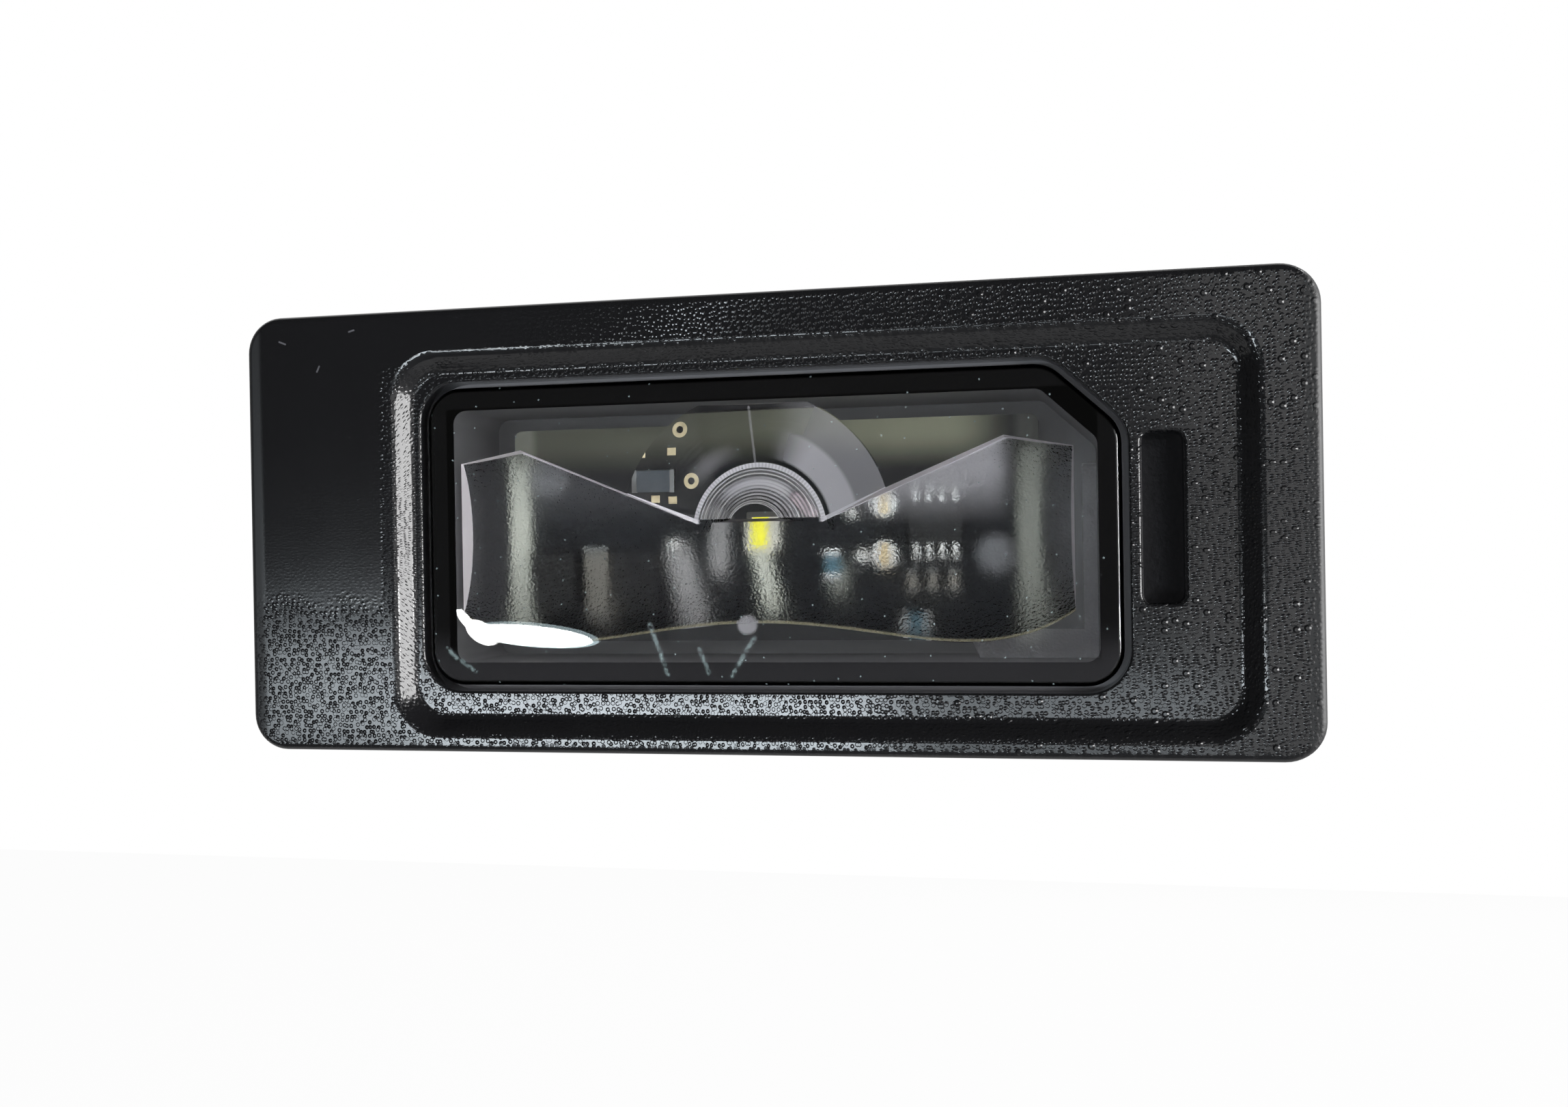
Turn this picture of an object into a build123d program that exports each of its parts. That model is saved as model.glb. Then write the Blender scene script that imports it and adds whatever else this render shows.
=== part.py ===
"""Number plate lamp: a black moulded housing with a dished flange, a clear lens welded into the dish, a
circuit board with one light source behind the lens, a plug socket and a steel retaining spring.

Every piece is drawn looking at the lens: x to the right, y up, z out of the lens towards the viewer. At
the end each piece is turned so that the lens faces -Y and +Z is up. The origin is the middle of the seat
rim on the back of the flange, which lies on the car's panel.
"""
import math
import os

from build123d import *

# Flange (all sizes in millimetres)
FLANGE_LENGTH = 78.0
FLANGE_HEIGHT = 33.0
FLANGE_THICKNESS = 3.2
FLANGE_CORNER = 2.7
FLANGE_EDGE_ROUND = 0.5
SEAT_WIDTH = 2.4
PLATE_WALL = 1.7
RIB_WIDTH = 1.2
RIB_SPREAD = 16.0

# Dish in the flange, placed by the border that the flange leaves around it
BORDER_LEFT = 12.0
BORDER_RIGHT = 4.0
BORDER_TOP = 3.45
BORDER_BOTTOM = 1.4
DISH_DEPTH = 1.2
DISH_SLOPE_RUN = 1.1
DISH_CORNER = 3.4
DISH_RIM_ROUND = 0.8
DISH_FOOT_ROUND = 0.6

# Release slot and lens opening, placed by the dish floor left around them
SLOT_WIDTH = 2.75
SLOT_HEIGHT = 11.6
SLOT_CORNER = 0.6
SLOT_MOUTH_CHAMFER = 0.25
SLOT_RAISE = 0.9
SLOT_TO_DISH = 3.7
SLOT_WALL = 0.85
FLOOR_LEFT = 0.55
FLOOR_TOP = 0.8
FLOOR_BOTTOM = 1.9
OPENING_MOUTH_CHAMFER = 0.15

# Lens
LENS_GAP = 0.45
LENS_SINK = 0.2
LENS_THICKNESS = 2.0
LENS_CORNER = 2.6
LENS_EDGE_CHAMFER = 0.4
BEVEL_RUN = 4.9
BEVEL_RISE = 4.5
WELD_WIDTH = 1.6

# Optic on the back of the lens: two wings and a half ring round the light source. The bend says how far
# along and how far down the middle of the ring's curved wall lies, as shares of the whole wall
OPTIC_SHIFT = -0.55
WING_END_GAP = 0.5
WING_SHOULDER_INSET = 4.85
WING_BELLY_INSET = 10.3
WING_END_DROP = 4.0
WING_SHOULDER_DROP = 3.1
WING_NOTCH_RISE = 0.95
WING_END_RISE = 3.6
WING_BELLY_RISE = 1.55
WING_MIDDLE_RISE = 2.8
WING_END_CROWN = 2.2
WING_BELLY_CROWN = 2.6
WING_MIDDLE_CROWN = 1.9
WING_END_CREST = 3.4
WING_BELLY_CREST = 1.5
WING_MIDDLE_CREST = 3.1
WING_DRAFT = 6.0
RING_GAP = 0.3
RING_INNER = 4.75
RING_THROAT = 2.0
RING_LIP = 0.4
RING_CROWN = 2.3
RING_OUTER = 10.15
RING_WALL_BEND = (0.35, 0.65)
OPTIC_ROOT = 0.4

# Chamber behind the lens
CHAMBER_WALL = 1.5
LEDGE_WALL = 1.4
BOARD_DROP = 4.6
BOARD_THICKNESS = 1.0
BOARD_SPACE = 3.0
CHAMBER_REAR_CHAMFER = 0.8

# Circuit board and its supports
BOARD_END_GAP = 3.6
BOARD_SIDE_GAP = 1.3
BOARD_CORNER = 0.6
POST_RADIUS = 1.0
POST_INSET = 1.4
STAKE_POST_RADIUS = 1.5
STAKE_PIN_RADIUS = 0.8
STAKE_HEAD_HEIGHT = 0.8
STAKE_HEAD_CHAMFER = 0.5
STAKE_CLEARANCE = 0.1
STAKE_INSET = 3.2
STAKE_LEFT_RAISE = 4.0
STAKE_RIGHT_RAISE = -1.8
VIA_RADIUS = 0.25
VIA_OFFSETS = [(-5.3, 3.6), (-6.2, 7.2), (3.9, 6.2)]

# Light source
LED_WIDTH = 3.0
LED_HEIGHT = 0.75
PHOSPHOR_WIDTH = 2.2
PHOSPHOR_DEPTH = 0.3
LED_EDGE_ROUND = 0.15

# Parts soldered to the board: chips are length, width and height; offsets are from the light source,
# insets and rows from the board's edges, and the shift from midway between light source and terminals
CHIP_CAP = 0.35
CHIP_CAP_STEP = 0.04
POWER_CHIP = (5.0, 1.9, 0.6)
LARGE_CHIP = (3.2, 1.6, 0.9)
MEDIUM_CHIP = (2.0, 1.25, 0.9)
SMALL_CHIP = (1.6, 0.8, 0.45)
SMALL_CHIP_COUNT = 3
SMALL_CHIP_PITCH = 1.5
SMALL_CHIP_INSET = 9.2
SMALL_CHIP_ROW = 4.7
CAPACITOR_1_OFFSET = (-8.1, 3.7)
CAPACITOR_2_INSET = (8.9, 2.0)
CAPACITOR_3_SHIFT = 0.6375
CAPACITOR_3_DROP = 2.4
DIODE_ROW = 4.8
REVERSE_DIODE_INSET = 3.7
POWER_CHIP_INSET = 7.0
SURGE_DIODE_INSET = 10.2
DIODE_WIDTH = 3.6
DIODE_LENGTH = 4.3
DIODE_HEIGHT = 1.1
DIODE_TAB_WIDTH = 2.0
DIODE_TAB_REACH = 0.55
DIODE_TAB_THICKNESS = 0.2
DRIVER_WIDTH = 3.0
DRIVER_LENGTH = 4.0
DRIVER_HEIGHT = 1.1
DRIVER_STANDOFF = 0.1
DRIVER_INSET = 7.4
DRIVER_ROW = 8.675
DRIVER_LEADS_PER_SIDE = 4
LEAD_PITCH = 0.95
LEAD_WIDTH = 0.35
LEAD_THICKNESS = 0.15
LEAD_DROP = 0.6
LEAD_REACH = 1.05
MOULD_TAPER = 5.0

# Plug socket and its terminals
TERMINAL_INSET = 11.2
TERMINAL_PITCH = 3.6
TERMINAL_WIDTH = 1.5
TERMINAL_THICKNESS = 0.64
TERMINAL_REACH = 6.5
TERMINAL_PROUD = 0.9
TERMINAL_TIP = 0.2
TERMINAL_CLEARANCE = 0.05
SOLDER_RADIUS = 1.25
SOLDER_TOP_RADIUS = 0.95
SOLDER_HEIGHT = 0.6
SOCKET_WIDTH = 7.0
SOCKET_HEIGHT = 10.2
SOCKET_DEPTH = 11.5
SOCKET_WALL = 1.3
SOCKET_CORNER = 1.2
CATCH_WIDTH = 3.6
CATCH_LENGTH = 2.6
CATCH_RISE = 1.1
CATCH_INSET = 3.5
KEY_RIB = 0.8
KEY_SPREAD = 4.4

# Fixing in the panel: fixed hook at the left, spring at the right
PANEL_THICKNESS = 3.0
HOOK_WIDTH = 12.0
HOOK_THICKNESS = 2.2
HOOK_TIP_INSET = 3.4
HOOK_LEAD_IN = 1.2
HOOK_ROOT_DEPTH = 1.2
SPRING_SIDE_PLAY = 0.2
SPRING_THICKNESS = 0.4
SPRING_BEND = 0.9
SPRING_CLEARANCE = 0.1
SPRING_NOSE_INSET = 2.2
SPRING_RAMP_GAP = 0.25
SPRING_LEG_GAP = 0.4
SPRING_HEEL_LENGTH = 4.0
SPRING_TAIL = 1.4
SPRING_BRIDGE = 1.0
SPRING_BRIDGE_HEIGHT = 2.2
SHAFT_WALL = 1.3
SHAFT_PLAY = 0.5

# Heights, from the seat rim at zero
Z_DISH_FLOOR = FLANGE_THICKNESS - DISH_DEPTH
Z_LENS_FRONT = Z_DISH_FLOOR - LENS_SINK
Z_LEDGE = Z_LENS_FRONT - LENS_THICKNESS
Z_LEDGE_BACK = Z_LEDGE - LEDGE_WALL
Z_SLAB_BACK = Z_DISH_FLOOR - PLATE_WALL
Z_BOARD_FRONT = Z_LEDGE - BOARD_DROP
Z_BOARD_BACK = Z_BOARD_FRONT - BOARD_THICKNESS
Z_CHAMBER_REAR = Z_BOARD_BACK - BOARD_SPACE
Z_REAR = Z_CHAMBER_REAR - CHAMBER_WALL

# Outlines, from the flange inwards
DISH_LEFT = BORDER_LEFT - FLANGE_LENGTH / 2
DISH_RIGHT = FLANGE_LENGTH / 2 - BORDER_RIGHT
DISH_BOTTOM = BORDER_BOTTOM - FLANGE_HEIGHT / 2
DISH_TOP = FLANGE_HEIGHT / 2 - BORDER_TOP
SLOT_RIGHT = DISH_RIGHT - DISH_SLOPE_RUN - SLOT_TO_DISH
SLOT_LEFT = SLOT_RIGHT - SLOT_WIDTH
SLOT_Y = (DISH_TOP + DISH_BOTTOM) / 2 + SLOT_RAISE
SHAFT_HALF_HEIGHT = SLOT_HEIGHT / 2 + SHAFT_PLAY
LENS_LEFT = DISH_LEFT + DISH_SLOPE_RUN + FLOOR_LEFT + LENS_GAP
LENS_RIGHT = SLOT_LEFT - SLOT_WALL - LENS_GAP
LENS_BOTTOM = DISH_BOTTOM + DISH_SLOPE_RUN + FLOOR_BOTTOM + LENS_GAP
LENS_TOP = DISH_TOP - DISH_SLOPE_RUN - FLOOR_TOP - LENS_GAP
WINDOW_LEFT = LENS_LEFT + WELD_WIDTH
WINDOW_RIGHT = LENS_RIGHT - WELD_WIDTH
WINDOW_BOTTOM = LENS_BOTTOM + WELD_WIDTH
WINDOW_TOP = LENS_TOP - WELD_WIDTH
CHAMBER_LEFT = WINDOW_LEFT - CHAMBER_WALL
CHAMBER_RIGHT = WINDOW_RIGHT + CHAMBER_WALL

# Places that share the optic's axis
OPTIC_X = (WINDOW_LEFT + WINDOW_RIGHT) / 2 + OPTIC_SHIFT
OPTIC_Y = (WINDOW_BOTTOM + WINDOW_TOP) / 2
BOARD_HALF_LENGTH = (WINDOW_RIGHT - WINDOW_LEFT) / 2 - BOARD_END_GAP
BOARD_HALF_HEIGHT = (WINDOW_TOP - WINDOW_BOTTOM) / 2 - BOARD_SIDE_GAP
BOARD_LEFT = OPTIC_X - BOARD_HALF_LENGTH
BOARD_RIGHT = OPTIC_X + BOARD_HALF_LENGTH
BOARD_BOTTOM = OPTIC_Y - BOARD_HALF_HEIGHT
BOARD_TOP = OPTIC_Y + BOARD_HALF_HEIGHT
SOCKET_X = BOARD_RIGHT - TERMINAL_INSET
SOCKET_Y = OPTIC_Y
TERMINAL_PLACES = [(SOCKET_X, SOCKET_Y + side * TERMINAL_PITCH / 2) for side in (1, -1)]
STAKE_PLACES = [
    (BOARD_LEFT + STAKE_INSET, OPTIC_Y + STAKE_LEFT_RAISE),
    (BOARD_RIGHT - STAKE_INSET, OPTIC_Y + STAKE_RIGHT_RAISE),
]
POST_PLACES = [
    (x, y)
    for x in (BOARD_LEFT + POST_INSET, BOARD_RIGHT - POST_INSET)
    for y in (BOARD_BOTTOM + POST_INSET, BOARD_TOP - POST_INSET)
]
VIA_PLACES = [(OPTIC_X + x, OPTIC_Y + y) for x, y in VIA_OFFSETS]

# Room left when edges are picked by their height or side
SKIN = 0.01


def rounded(left, right, bottom, top, corner):
    """A rectangle with round corners, given by its edges."""
    return Pos((left + right) / 2, (bottom + top) / 2) * RectangleRounded(right - left, top - bottom, corner)


def block(outline, low, high):
    """A straight block with this outline between two heights."""
    return extrude(Pos(0, 0, low) * outline, amount=high - low, dir=(0, 0, 1))


def brick(left, right, bottom, top, low, high):
    """A plain box given by its six sides."""
    size = Box(right - left, top - bottom, high - low)
    return Pos((left + right) / 2, (bottom + top) / 2, (low + high) / 2) * size


def across(profile_points, width, y):
    """A bar of constant section: points in x and z, drawn out along y."""
    profile = make_face(Polyline(*profile_points, close=True))
    return Pos(0, y, 0) * extrude(Plane.XZ * profile, amount=width / 2, both=True)


def edges_within(shape, height, left, right, bottom, top):
    """The edges at one height that lie inside a rectangle or on its sides."""
    level = shape.edges().filter_by_position(Axis.Z, height - SKIN, height + SKIN)
    level = level.filter_by_position(Axis.X, left - SKIN, right + SKIN)
    return level.filter_by_position(Axis.Y, bottom - SKIN, top + SKIN)


def lens_outline(growth):
    """The lens seen from the front, with its bevelled upper right corner, made larger by growth."""
    corners = Polyline(
        (LENS_LEFT, LENS_BOTTOM),
        (LENS_RIGHT, LENS_BOTTOM),
        (LENS_RIGHT, LENS_TOP - BEVEL_RISE),
        (LENS_RIGHT - BEVEL_RUN, LENS_TOP),
        (LENS_LEFT, LENS_TOP),
        close=True,
    )
    face = make_face(corners)
    face = fillet(face.vertices(), LENS_CORNER)
    if growth:
        face = offset(face, growth, kind=Kind.ARC)
    return face


def flange():
    """The dished flange plate with its seat rim, cored out behind."""
    half_length = FLANGE_LENGTH / 2
    outline = RectangleRounded(FLANGE_LENGTH, FLANGE_HEIGHT, FLANGE_CORNER)
    plate = block(outline, 0, FLANGE_THICKNESS)
    plate = fillet(plate.faces().sort_by(Axis.Z)[-1].edges(), FLANGE_EDGE_ROUND)
    core_length = FLANGE_LENGTH - 2 * SEAT_WIDTH
    core_height = FLANGE_HEIGHT - 2 * SEAT_WIDTH
    core_corner = max(FLANGE_CORNER - SEAT_WIDTH, PLATE_WALL / 2)
    core = RectangleRounded(core_length, core_height, core_corner)
    core_top = FLANGE_THICKNESS - PLATE_WALL
    plate -= block(core, 0, core_top)
    slab = rounded(DISH_LEFT, DISH_RIGHT, DISH_BOTTOM, DISH_TOP, DISH_CORNER)
    plate += block(slab, Z_SLAB_BACK, FLANGE_THICKNESS)
    for side in (-1, 1):
        y = side * RIB_SPREAD / 2
        plate += brick(SEAT_WIDTH / 2 - half_length, DISH_LEFT + PLATE_WALL,
                       y - RIB_WIDTH / 2, y + RIB_WIDTH / 2,
                       Z_SLAB_BACK, FLANGE_THICKNESS - PLATE_WALL / 2)
    rim = rounded(DISH_LEFT, DISH_RIGHT, DISH_BOTTOM, DISH_TOP, DISH_CORNER)
    floor = rounded(DISH_LEFT + DISH_SLOPE_RUN, DISH_RIGHT - DISH_SLOPE_RUN,
                    DISH_BOTTOM + DISH_SLOPE_RUN, DISH_TOP - DISH_SLOPE_RUN, DISH_CORNER - DISH_SLOPE_RUN)
    plate -= loft([Pos(0, 0, FLANGE_THICKNESS) * rim, Pos(0, 0, Z_DISH_FLOOR) * floor], ruled=True)
    foot_edges = edges_within(plate, Z_DISH_FLOOR, DISH_LEFT, DISH_RIGHT, DISH_BOTTOM, DISH_TOP)
    plate = fillet(foot_edges, DISH_FOOT_ROUND)
    rim_edges = edges_within(plate, FLANGE_THICKNESS, DISH_LEFT, DISH_RIGHT, DISH_BOTTOM, DISH_TOP)
    return fillet(rim_edges, DISH_RIM_ROUND)


def chamber_walls():
    """The solid from which the lens pocket and the chamber are cut."""
    pocket = block(lens_outline(LENS_GAP + SLOT_WALL), Z_LEDGE_BACK, Z_DISH_FLOOR - PLATE_WALL / 2)
    chamber = block(lens_outline(CHAMBER_WALL - WELD_WIDTH), Z_REAR, Z_LEDGE)
    rear_edges = chamber.faces().sort_by(Axis.Z)[0].edges()
    return pocket + chamfer(rear_edges, CHAMBER_REAR_CHAMFER)


def board_supports():
    """Plain posts under the board's corners, and two posts whose ends are staked over it."""
    supports = []
    length = Z_BOARD_BACK - Z_CHAMBER_REAR + CHAMBER_WALL / 2
    for x, y in POST_PLACES:
        post = Cylinder(POST_RADIUS, length, align=(Align.CENTER, Align.CENTER, Align.MAX))
        supports.append(Pos(x, y, Z_BOARD_BACK) * post)
    for x, y in STAKE_PLACES:
        post = Cylinder(STAKE_POST_RADIUS, length, align=(Align.CENTER, Align.CENTER, Align.MAX))
        pin = Cylinder(STAKE_PIN_RADIUS, BOARD_THICKNESS, align=(Align.CENTER, Align.CENTER, Align.MIN))
        head = Cylinder(STAKE_POST_RADIUS, STAKE_HEAD_HEIGHT, align=(Align.CENTER, Align.CENTER, Align.MIN))
        head = chamfer(head.edges().sort_by(Axis.Z)[-1], STAKE_HEAD_CHAMFER)
        stake = Pos(0, 0, Z_BOARD_BACK) * (post + pin) + Pos(0, 0, Z_BOARD_FRONT) * head
        supports.append(Pos(x, y, 0) * stake)
    return supports


def plug_socket():
    """The shroud behind the chamber that takes the plug, with its catch and two key ribs."""
    half_width = SOCKET_WIDTH / 2 + SOCKET_WALL
    half_height = SOCKET_HEIGHT / 2 + SOCKET_WALL
    mouth = Z_REAR - SOCKET_DEPTH
    outer = RectangleRounded(2 * half_width, 2 * half_height, SOCKET_CORNER + SOCKET_WALL)
    shroud = block(outer, mouth, Z_CHAMBER_REAR - CHAMBER_WALL / 2)
    catch_top = mouth + CATCH_INSET + CATCH_LENGTH
    catch = across([
        (half_width - SOCKET_WALL / 2, mouth + CATCH_INSET),
        (half_width, mouth + CATCH_INSET),
        (half_width + CATCH_RISE, catch_top),
        (half_width - SOCKET_WALL / 2, catch_top),
    ], CATCH_WIDTH, 0)
    shroud += catch
    for side in (-1, 1):
        y = side * KEY_SPREAD / 2
        shroud += brick(-half_width - KEY_RIB, SOCKET_WALL / 2 - half_width,
                        y - KEY_RIB / 2, y + KEY_RIB / 2,
                        mouth + SOCKET_WALL, Z_CHAMBER_REAR - CHAMBER_WALL / 2)
    return Pos(SOCKET_X, SOCKET_Y, 0) * shroud


def socket_space():
    """The hollow of the plug socket."""
    inner = RectangleRounded(SOCKET_WIDTH, SOCKET_HEIGHT, SOCKET_CORNER)
    return Pos(SOCKET_X, SOCKET_Y, 0) * block(inner, Z_REAR - SOCKET_DEPTH, Z_REAR)


def hook():
    """The fixed tongue that goes behind the panel at the left end."""
    tip = HOOK_TIP_INSET - FLANGE_LENGTH / 2
    root = CHAMBER_LEFT + CHAMBER_WALL / 2
    front = -PANEL_THICKNESS
    back = front - HOOK_THICKNESS
    return across([
        (root, front),
        (tip + HOOK_LEAD_IN / 2, front),
        (tip, front - HOOK_LEAD_IN / 2),
        (tip + HOOK_LEAD_IN, back),
        (root, back - HOOK_ROOT_DEPTH),
    ], HOOK_WIDTH, OPTIC_Y)


def spring_shaft():
    """Two walls behind the slot that guide the blade, and a bridge that holds the spring's fixed leg."""
    wall = CHAMBER_RIGHT - CHAMBER_WALL / 2
    pocket_wall = SLOT_LEFT - SLOT_WALL / 2
    ledge = Z_LEDGE - LEDGE_WALL / 2
    bridge_left = CHAMBER_RIGHT + SPRING_THICKNESS + 2 * SPRING_CLEARANCE
    bridge_right = bridge_left + SPRING_BRIDGE
    shaft_right = SLOT_RIGHT + SHAFT_WALL
    inner = SHAFT_HALF_HEIGHT
    outer = inner + SHAFT_WALL
    low = Z_REAR + CHAMBER_REAR_CHAMFER
    shaft = brick(bridge_left, bridge_right, -outer, outer, low, low + SPRING_BRIDGE_HEIGHT)
    for side in (-1, 1):
        shaft += across([
            (wall, low),
            (bridge_right, low),
            (shaft_right, -PANEL_THICKNESS),
            (shaft_right, Z_SLAB_BACK + PLATE_WALL / 2),
            (pocket_wall, Z_SLAB_BACK + PLATE_WALL / 2),
            (pocket_wall, ledge),
            (wall, ledge),
        ], SHAFT_WALL, side * (inner + outer) / 2)
    return Pos(0, SLOT_Y, 0) * shaft


def terminal_outline(clearance):
    """The section of a terminal blade, made larger by a clearance all round."""
    return Rectangle(TERMINAL_THICKNESS + 2 * clearance, TERMINAL_WIDTH + 2 * clearance)


def make_housing():
    """The one black moulding that carries everything."""
    body = flange() + chamber_walls()
    body -= block(lens_outline(LENS_GAP), Z_LEDGE, FLANGE_THICKNESS)
    body -= block(lens_outline(-WELD_WIDTH), Z_CHAMBER_REAR, Z_LEDGE)
    mouth_edges = edges_within(body, Z_DISH_FLOOR, LENS_LEFT - LENS_GAP, LENS_RIGHT + LENS_GAP,
                               LENS_BOTTOM - LENS_GAP, LENS_TOP + LENS_GAP)
    body = chamfer(mouth_edges, OPENING_MOUTH_CHAMFER)
    slot_bottom = SLOT_Y - SLOT_HEIGHT / 2
    slot_top = SLOT_Y + SLOT_HEIGHT / 2
    slot = rounded(SLOT_LEFT, SLOT_RIGHT, slot_bottom, slot_top, SLOT_CORNER)
    body -= block(slot, Z_SLAB_BACK, FLANGE_THICKNESS)
    slot_edges = edges_within(body, Z_DISH_FLOOR, SLOT_LEFT, SLOT_RIGHT, slot_bottom, slot_top)
    body = chamfer(slot_edges, SLOT_MOUTH_CHAMFER)
    for support in board_supports():
        body += support
    body += plug_socket()
    body -= socket_space()
    body += hook()
    body += spring_shaft()
    for x, y in TERMINAL_PLACES:
        body -= Pos(x, y, 0) * block(terminal_outline(TERMINAL_CLEARANCE), Z_REAR, Z_CHAMBER_REAR)
    return body


def wing_section(x, bottom, top, crown):
    """One cross section of the wings: a low arc on the lens's back, rooted in the lens."""
    root = Z_LEDGE + OPTIC_ROOT
    middle = (bottom + top) / 2
    arc = ThreePointArc((bottom, Z_LEDGE), (middle, Z_LEDGE - crown), (top, Z_LEDGE))
    frame = Polyline((top, Z_LEDGE), (top, root), (bottom, root), (bottom, Z_LEDGE))
    return Plane.YZ.offset(x) * make_face(arc + frame)


def wings():
    """The two crowned wings, with drafted sides along the folded line of their upper edge."""
    half = (WINDOW_RIGHT - WINDOW_LEFT) / 2 - abs(OPTIC_SHIFT) - WING_END_GAP
    belly = half - WING_BELLY_INSET
    end = (WINDOW_BOTTOM + WING_END_RISE, WINDOW_TOP - WING_END_CREST, WING_END_CROWN)
    full = (WINDOW_BOTTOM + WING_BELLY_RISE, WINDOW_TOP - WING_BELLY_CREST, WING_BELLY_CROWN)
    waist = (WINDOW_BOTTOM + WING_MIDDLE_RISE, WINDOW_TOP - WING_MIDDLE_CREST, WING_MIDDLE_CROWN)
    stations = [(-half, end), (-belly, full), (0, waist), (belly, full), (half, end)]
    crowned = loft([wing_section(OPTIC_X + x, *shape) for x, shape in stations])
    shoulder = half - WING_SHOULDER_INSET
    folded = make_face(Polyline(
        (-half, WINDOW_BOTTOM),
        (-half, WINDOW_TOP - WING_END_DROP),
        (-shoulder, WINDOW_TOP - WING_SHOULDER_DROP),
        (-RING_INNER, OPTIC_Y + WING_NOTCH_RISE),
        (RING_INNER, OPTIC_Y + WING_NOTCH_RISE),
        (shoulder, WINDOW_TOP - WING_SHOULDER_DROP),
        (half, WINDOW_TOP - WING_END_DROP),
        (half, WINDOW_BOTTOM),
        close=True,
    ))
    depth = OPTIC_ROOT + 2 * max(WING_END_CROWN, WING_BELLY_CROWN, WING_MIDDLE_CROWN)
    narrowed = offset(folded, -depth * math.tan(math.radians(WING_DRAFT)), kind=Kind.INTERSECTION)
    root = Z_LEDGE + OPTIC_ROOT
    sides = loft([Pos(OPTIC_X, 0, root) * folded, Pos(OPTIC_X, 0, root - depth) * narrowed], ruled=True)
    return crowned & sides


def half_ring():
    """The clear half ring over the light source: a bowl's rim with a long outer slope, its top cut off."""
    root = Z_LEDGE + OPTIC_ROOT
    crest = Z_LEDGE - RING_CROWN
    lip = RING_INNER + RING_LIP
    wall_out, wall_down = RING_WALL_BEND
    inner_middle = (RING_THROAT + wall_out * (RING_INNER - RING_THROAT), Z_LEDGE - wall_down * RING_CROWN)
    profile = make_face(
        ThreePointArc((RING_THROAT, Z_LEDGE), inner_middle, (RING_INNER, crest))
        + Polyline(
            (RING_INNER, crest),
            (lip, crest),
            (RING_OUTER, Z_LEDGE),
            (RING_OUTER, root),
            (RING_THROAT, root),
            (RING_THROAT, Z_LEDGE),
        )
    )
    ring = Pos(OPTIC_X, OPTIC_Y, 0) * revolve(Plane.XZ * profile, Axis.Z)
    left, right = OPTIC_X - RING_OUTER, OPTIC_X + RING_OUTER
    return ring & brick(left, right, OPTIC_Y, WINDOW_TOP - RING_GAP, crest, root)


def make_lens():
    """The clear moulding: a flat plate with a bevelled front edge, and the optic on its back."""
    plate = block(lens_outline(0), Z_LEDGE, Z_LENS_FRONT)
    plate = chamfer(plate.faces().sort_by(Axis.Z)[-1].edges(), LENS_EDGE_CHAMFER)
    return plate + wings() + half_ring()


def make_board():
    """The circuit board with its holes for the stakes, the terminals and a few vias."""
    board = block(rounded(BOARD_LEFT, BOARD_RIGHT, BOARD_BOTTOM, BOARD_TOP, BOARD_CORNER),
                  Z_BOARD_BACK, Z_BOARD_FRONT)
    for x, y in STAKE_PLACES:
        board -= Pos(x, y) * block(Circle(STAKE_PIN_RADIUS + STAKE_CLEARANCE), Z_BOARD_BACK, Z_BOARD_FRONT)
    for x, y in TERMINAL_PLACES:
        board -= Pos(x, y) * block(terminal_outline(TERMINAL_CLEARANCE), Z_BOARD_BACK, Z_BOARD_FRONT)
    for x, y in VIA_PLACES:
        board -= Pos(x, y) * block(Circle(VIA_RADIUS), Z_BOARD_BACK, Z_BOARD_FRONT)
    return board


def make_led_package():
    """The light source's body, with the pocket that holds the phosphor."""
    outline = RectangleRounded(LED_WIDTH, LED_WIDTH, LED_EDGE_ROUND)
    pocket = Rectangle(PHOSPHOR_WIDTH, PHOSPHOR_WIDTH)
    return block(outline, 0, LED_HEIGHT) - block(pocket, LED_HEIGHT - PHOSPHOR_DEPTH, LED_HEIGHT)


def make_led_phosphor():
    """The yellow square that gives the light."""
    square = Rectangle(PHOSPHOR_WIDTH, PHOSPHOR_WIDTH)
    return block(square, LED_HEIGHT - PHOSPHOR_DEPTH, LED_HEIGHT)


def chip(length, width, height):
    """A chip resistor or capacitor: a body along x between two slightly larger metal caps."""
    align = (Align.CENTER, Align.CENTER, Align.MIN)
    body = Box(length - CHIP_CAP, width - 2 * CHIP_CAP_STEP, height - CHIP_CAP_STEP, align=align)
    cap = Box(CHIP_CAP, width, height, align=align)
    reach = (length - CHIP_CAP) / 2
    return body + Pos(-reach, 0, 0) * cap + Pos(reach, 0, 0) * cap


def diode():
    """A flat moulded diode with a metal tab at each end, lying along y."""
    body = extrude(Rectangle(DIODE_WIDTH, DIODE_LENGTH), amount=DIODE_HEIGHT, taper=MOULD_TAPER)
    reach = DIODE_LENGTH + 2 * DIODE_TAB_REACH
    tabs = Box(DIODE_TAB_WIDTH, reach, DIODE_TAB_THICKNESS, align=(Align.CENTER, Align.CENTER, Align.MIN))
    return body + tabs


def driver_lead():
    """One gull-wing lead on the +x side, from inside the body down to the board."""
    start = DRIVER_WIDTH / 2 - LEAD_REACH / 2
    knee = DRIVER_WIDTH / 2 + LEAD_REACH / 3
    heel = knee + LEAD_THICKNESS
    toe = DRIVER_WIDTH / 2 + LEAD_REACH
    return across([
        (start, LEAD_DROP + LEAD_THICKNESS),
        (knee + LEAD_THICKNESS, LEAD_DROP + LEAD_THICKNESS),
        (heel + LEAD_THICKNESS, LEAD_THICKNESS),
        (toe, LEAD_THICKNESS),
        (toe, 0),
        (heel, 0),
        (knee, LEAD_DROP),
        (start, LEAD_DROP),
    ], LEAD_WIDTH, 0)


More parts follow.
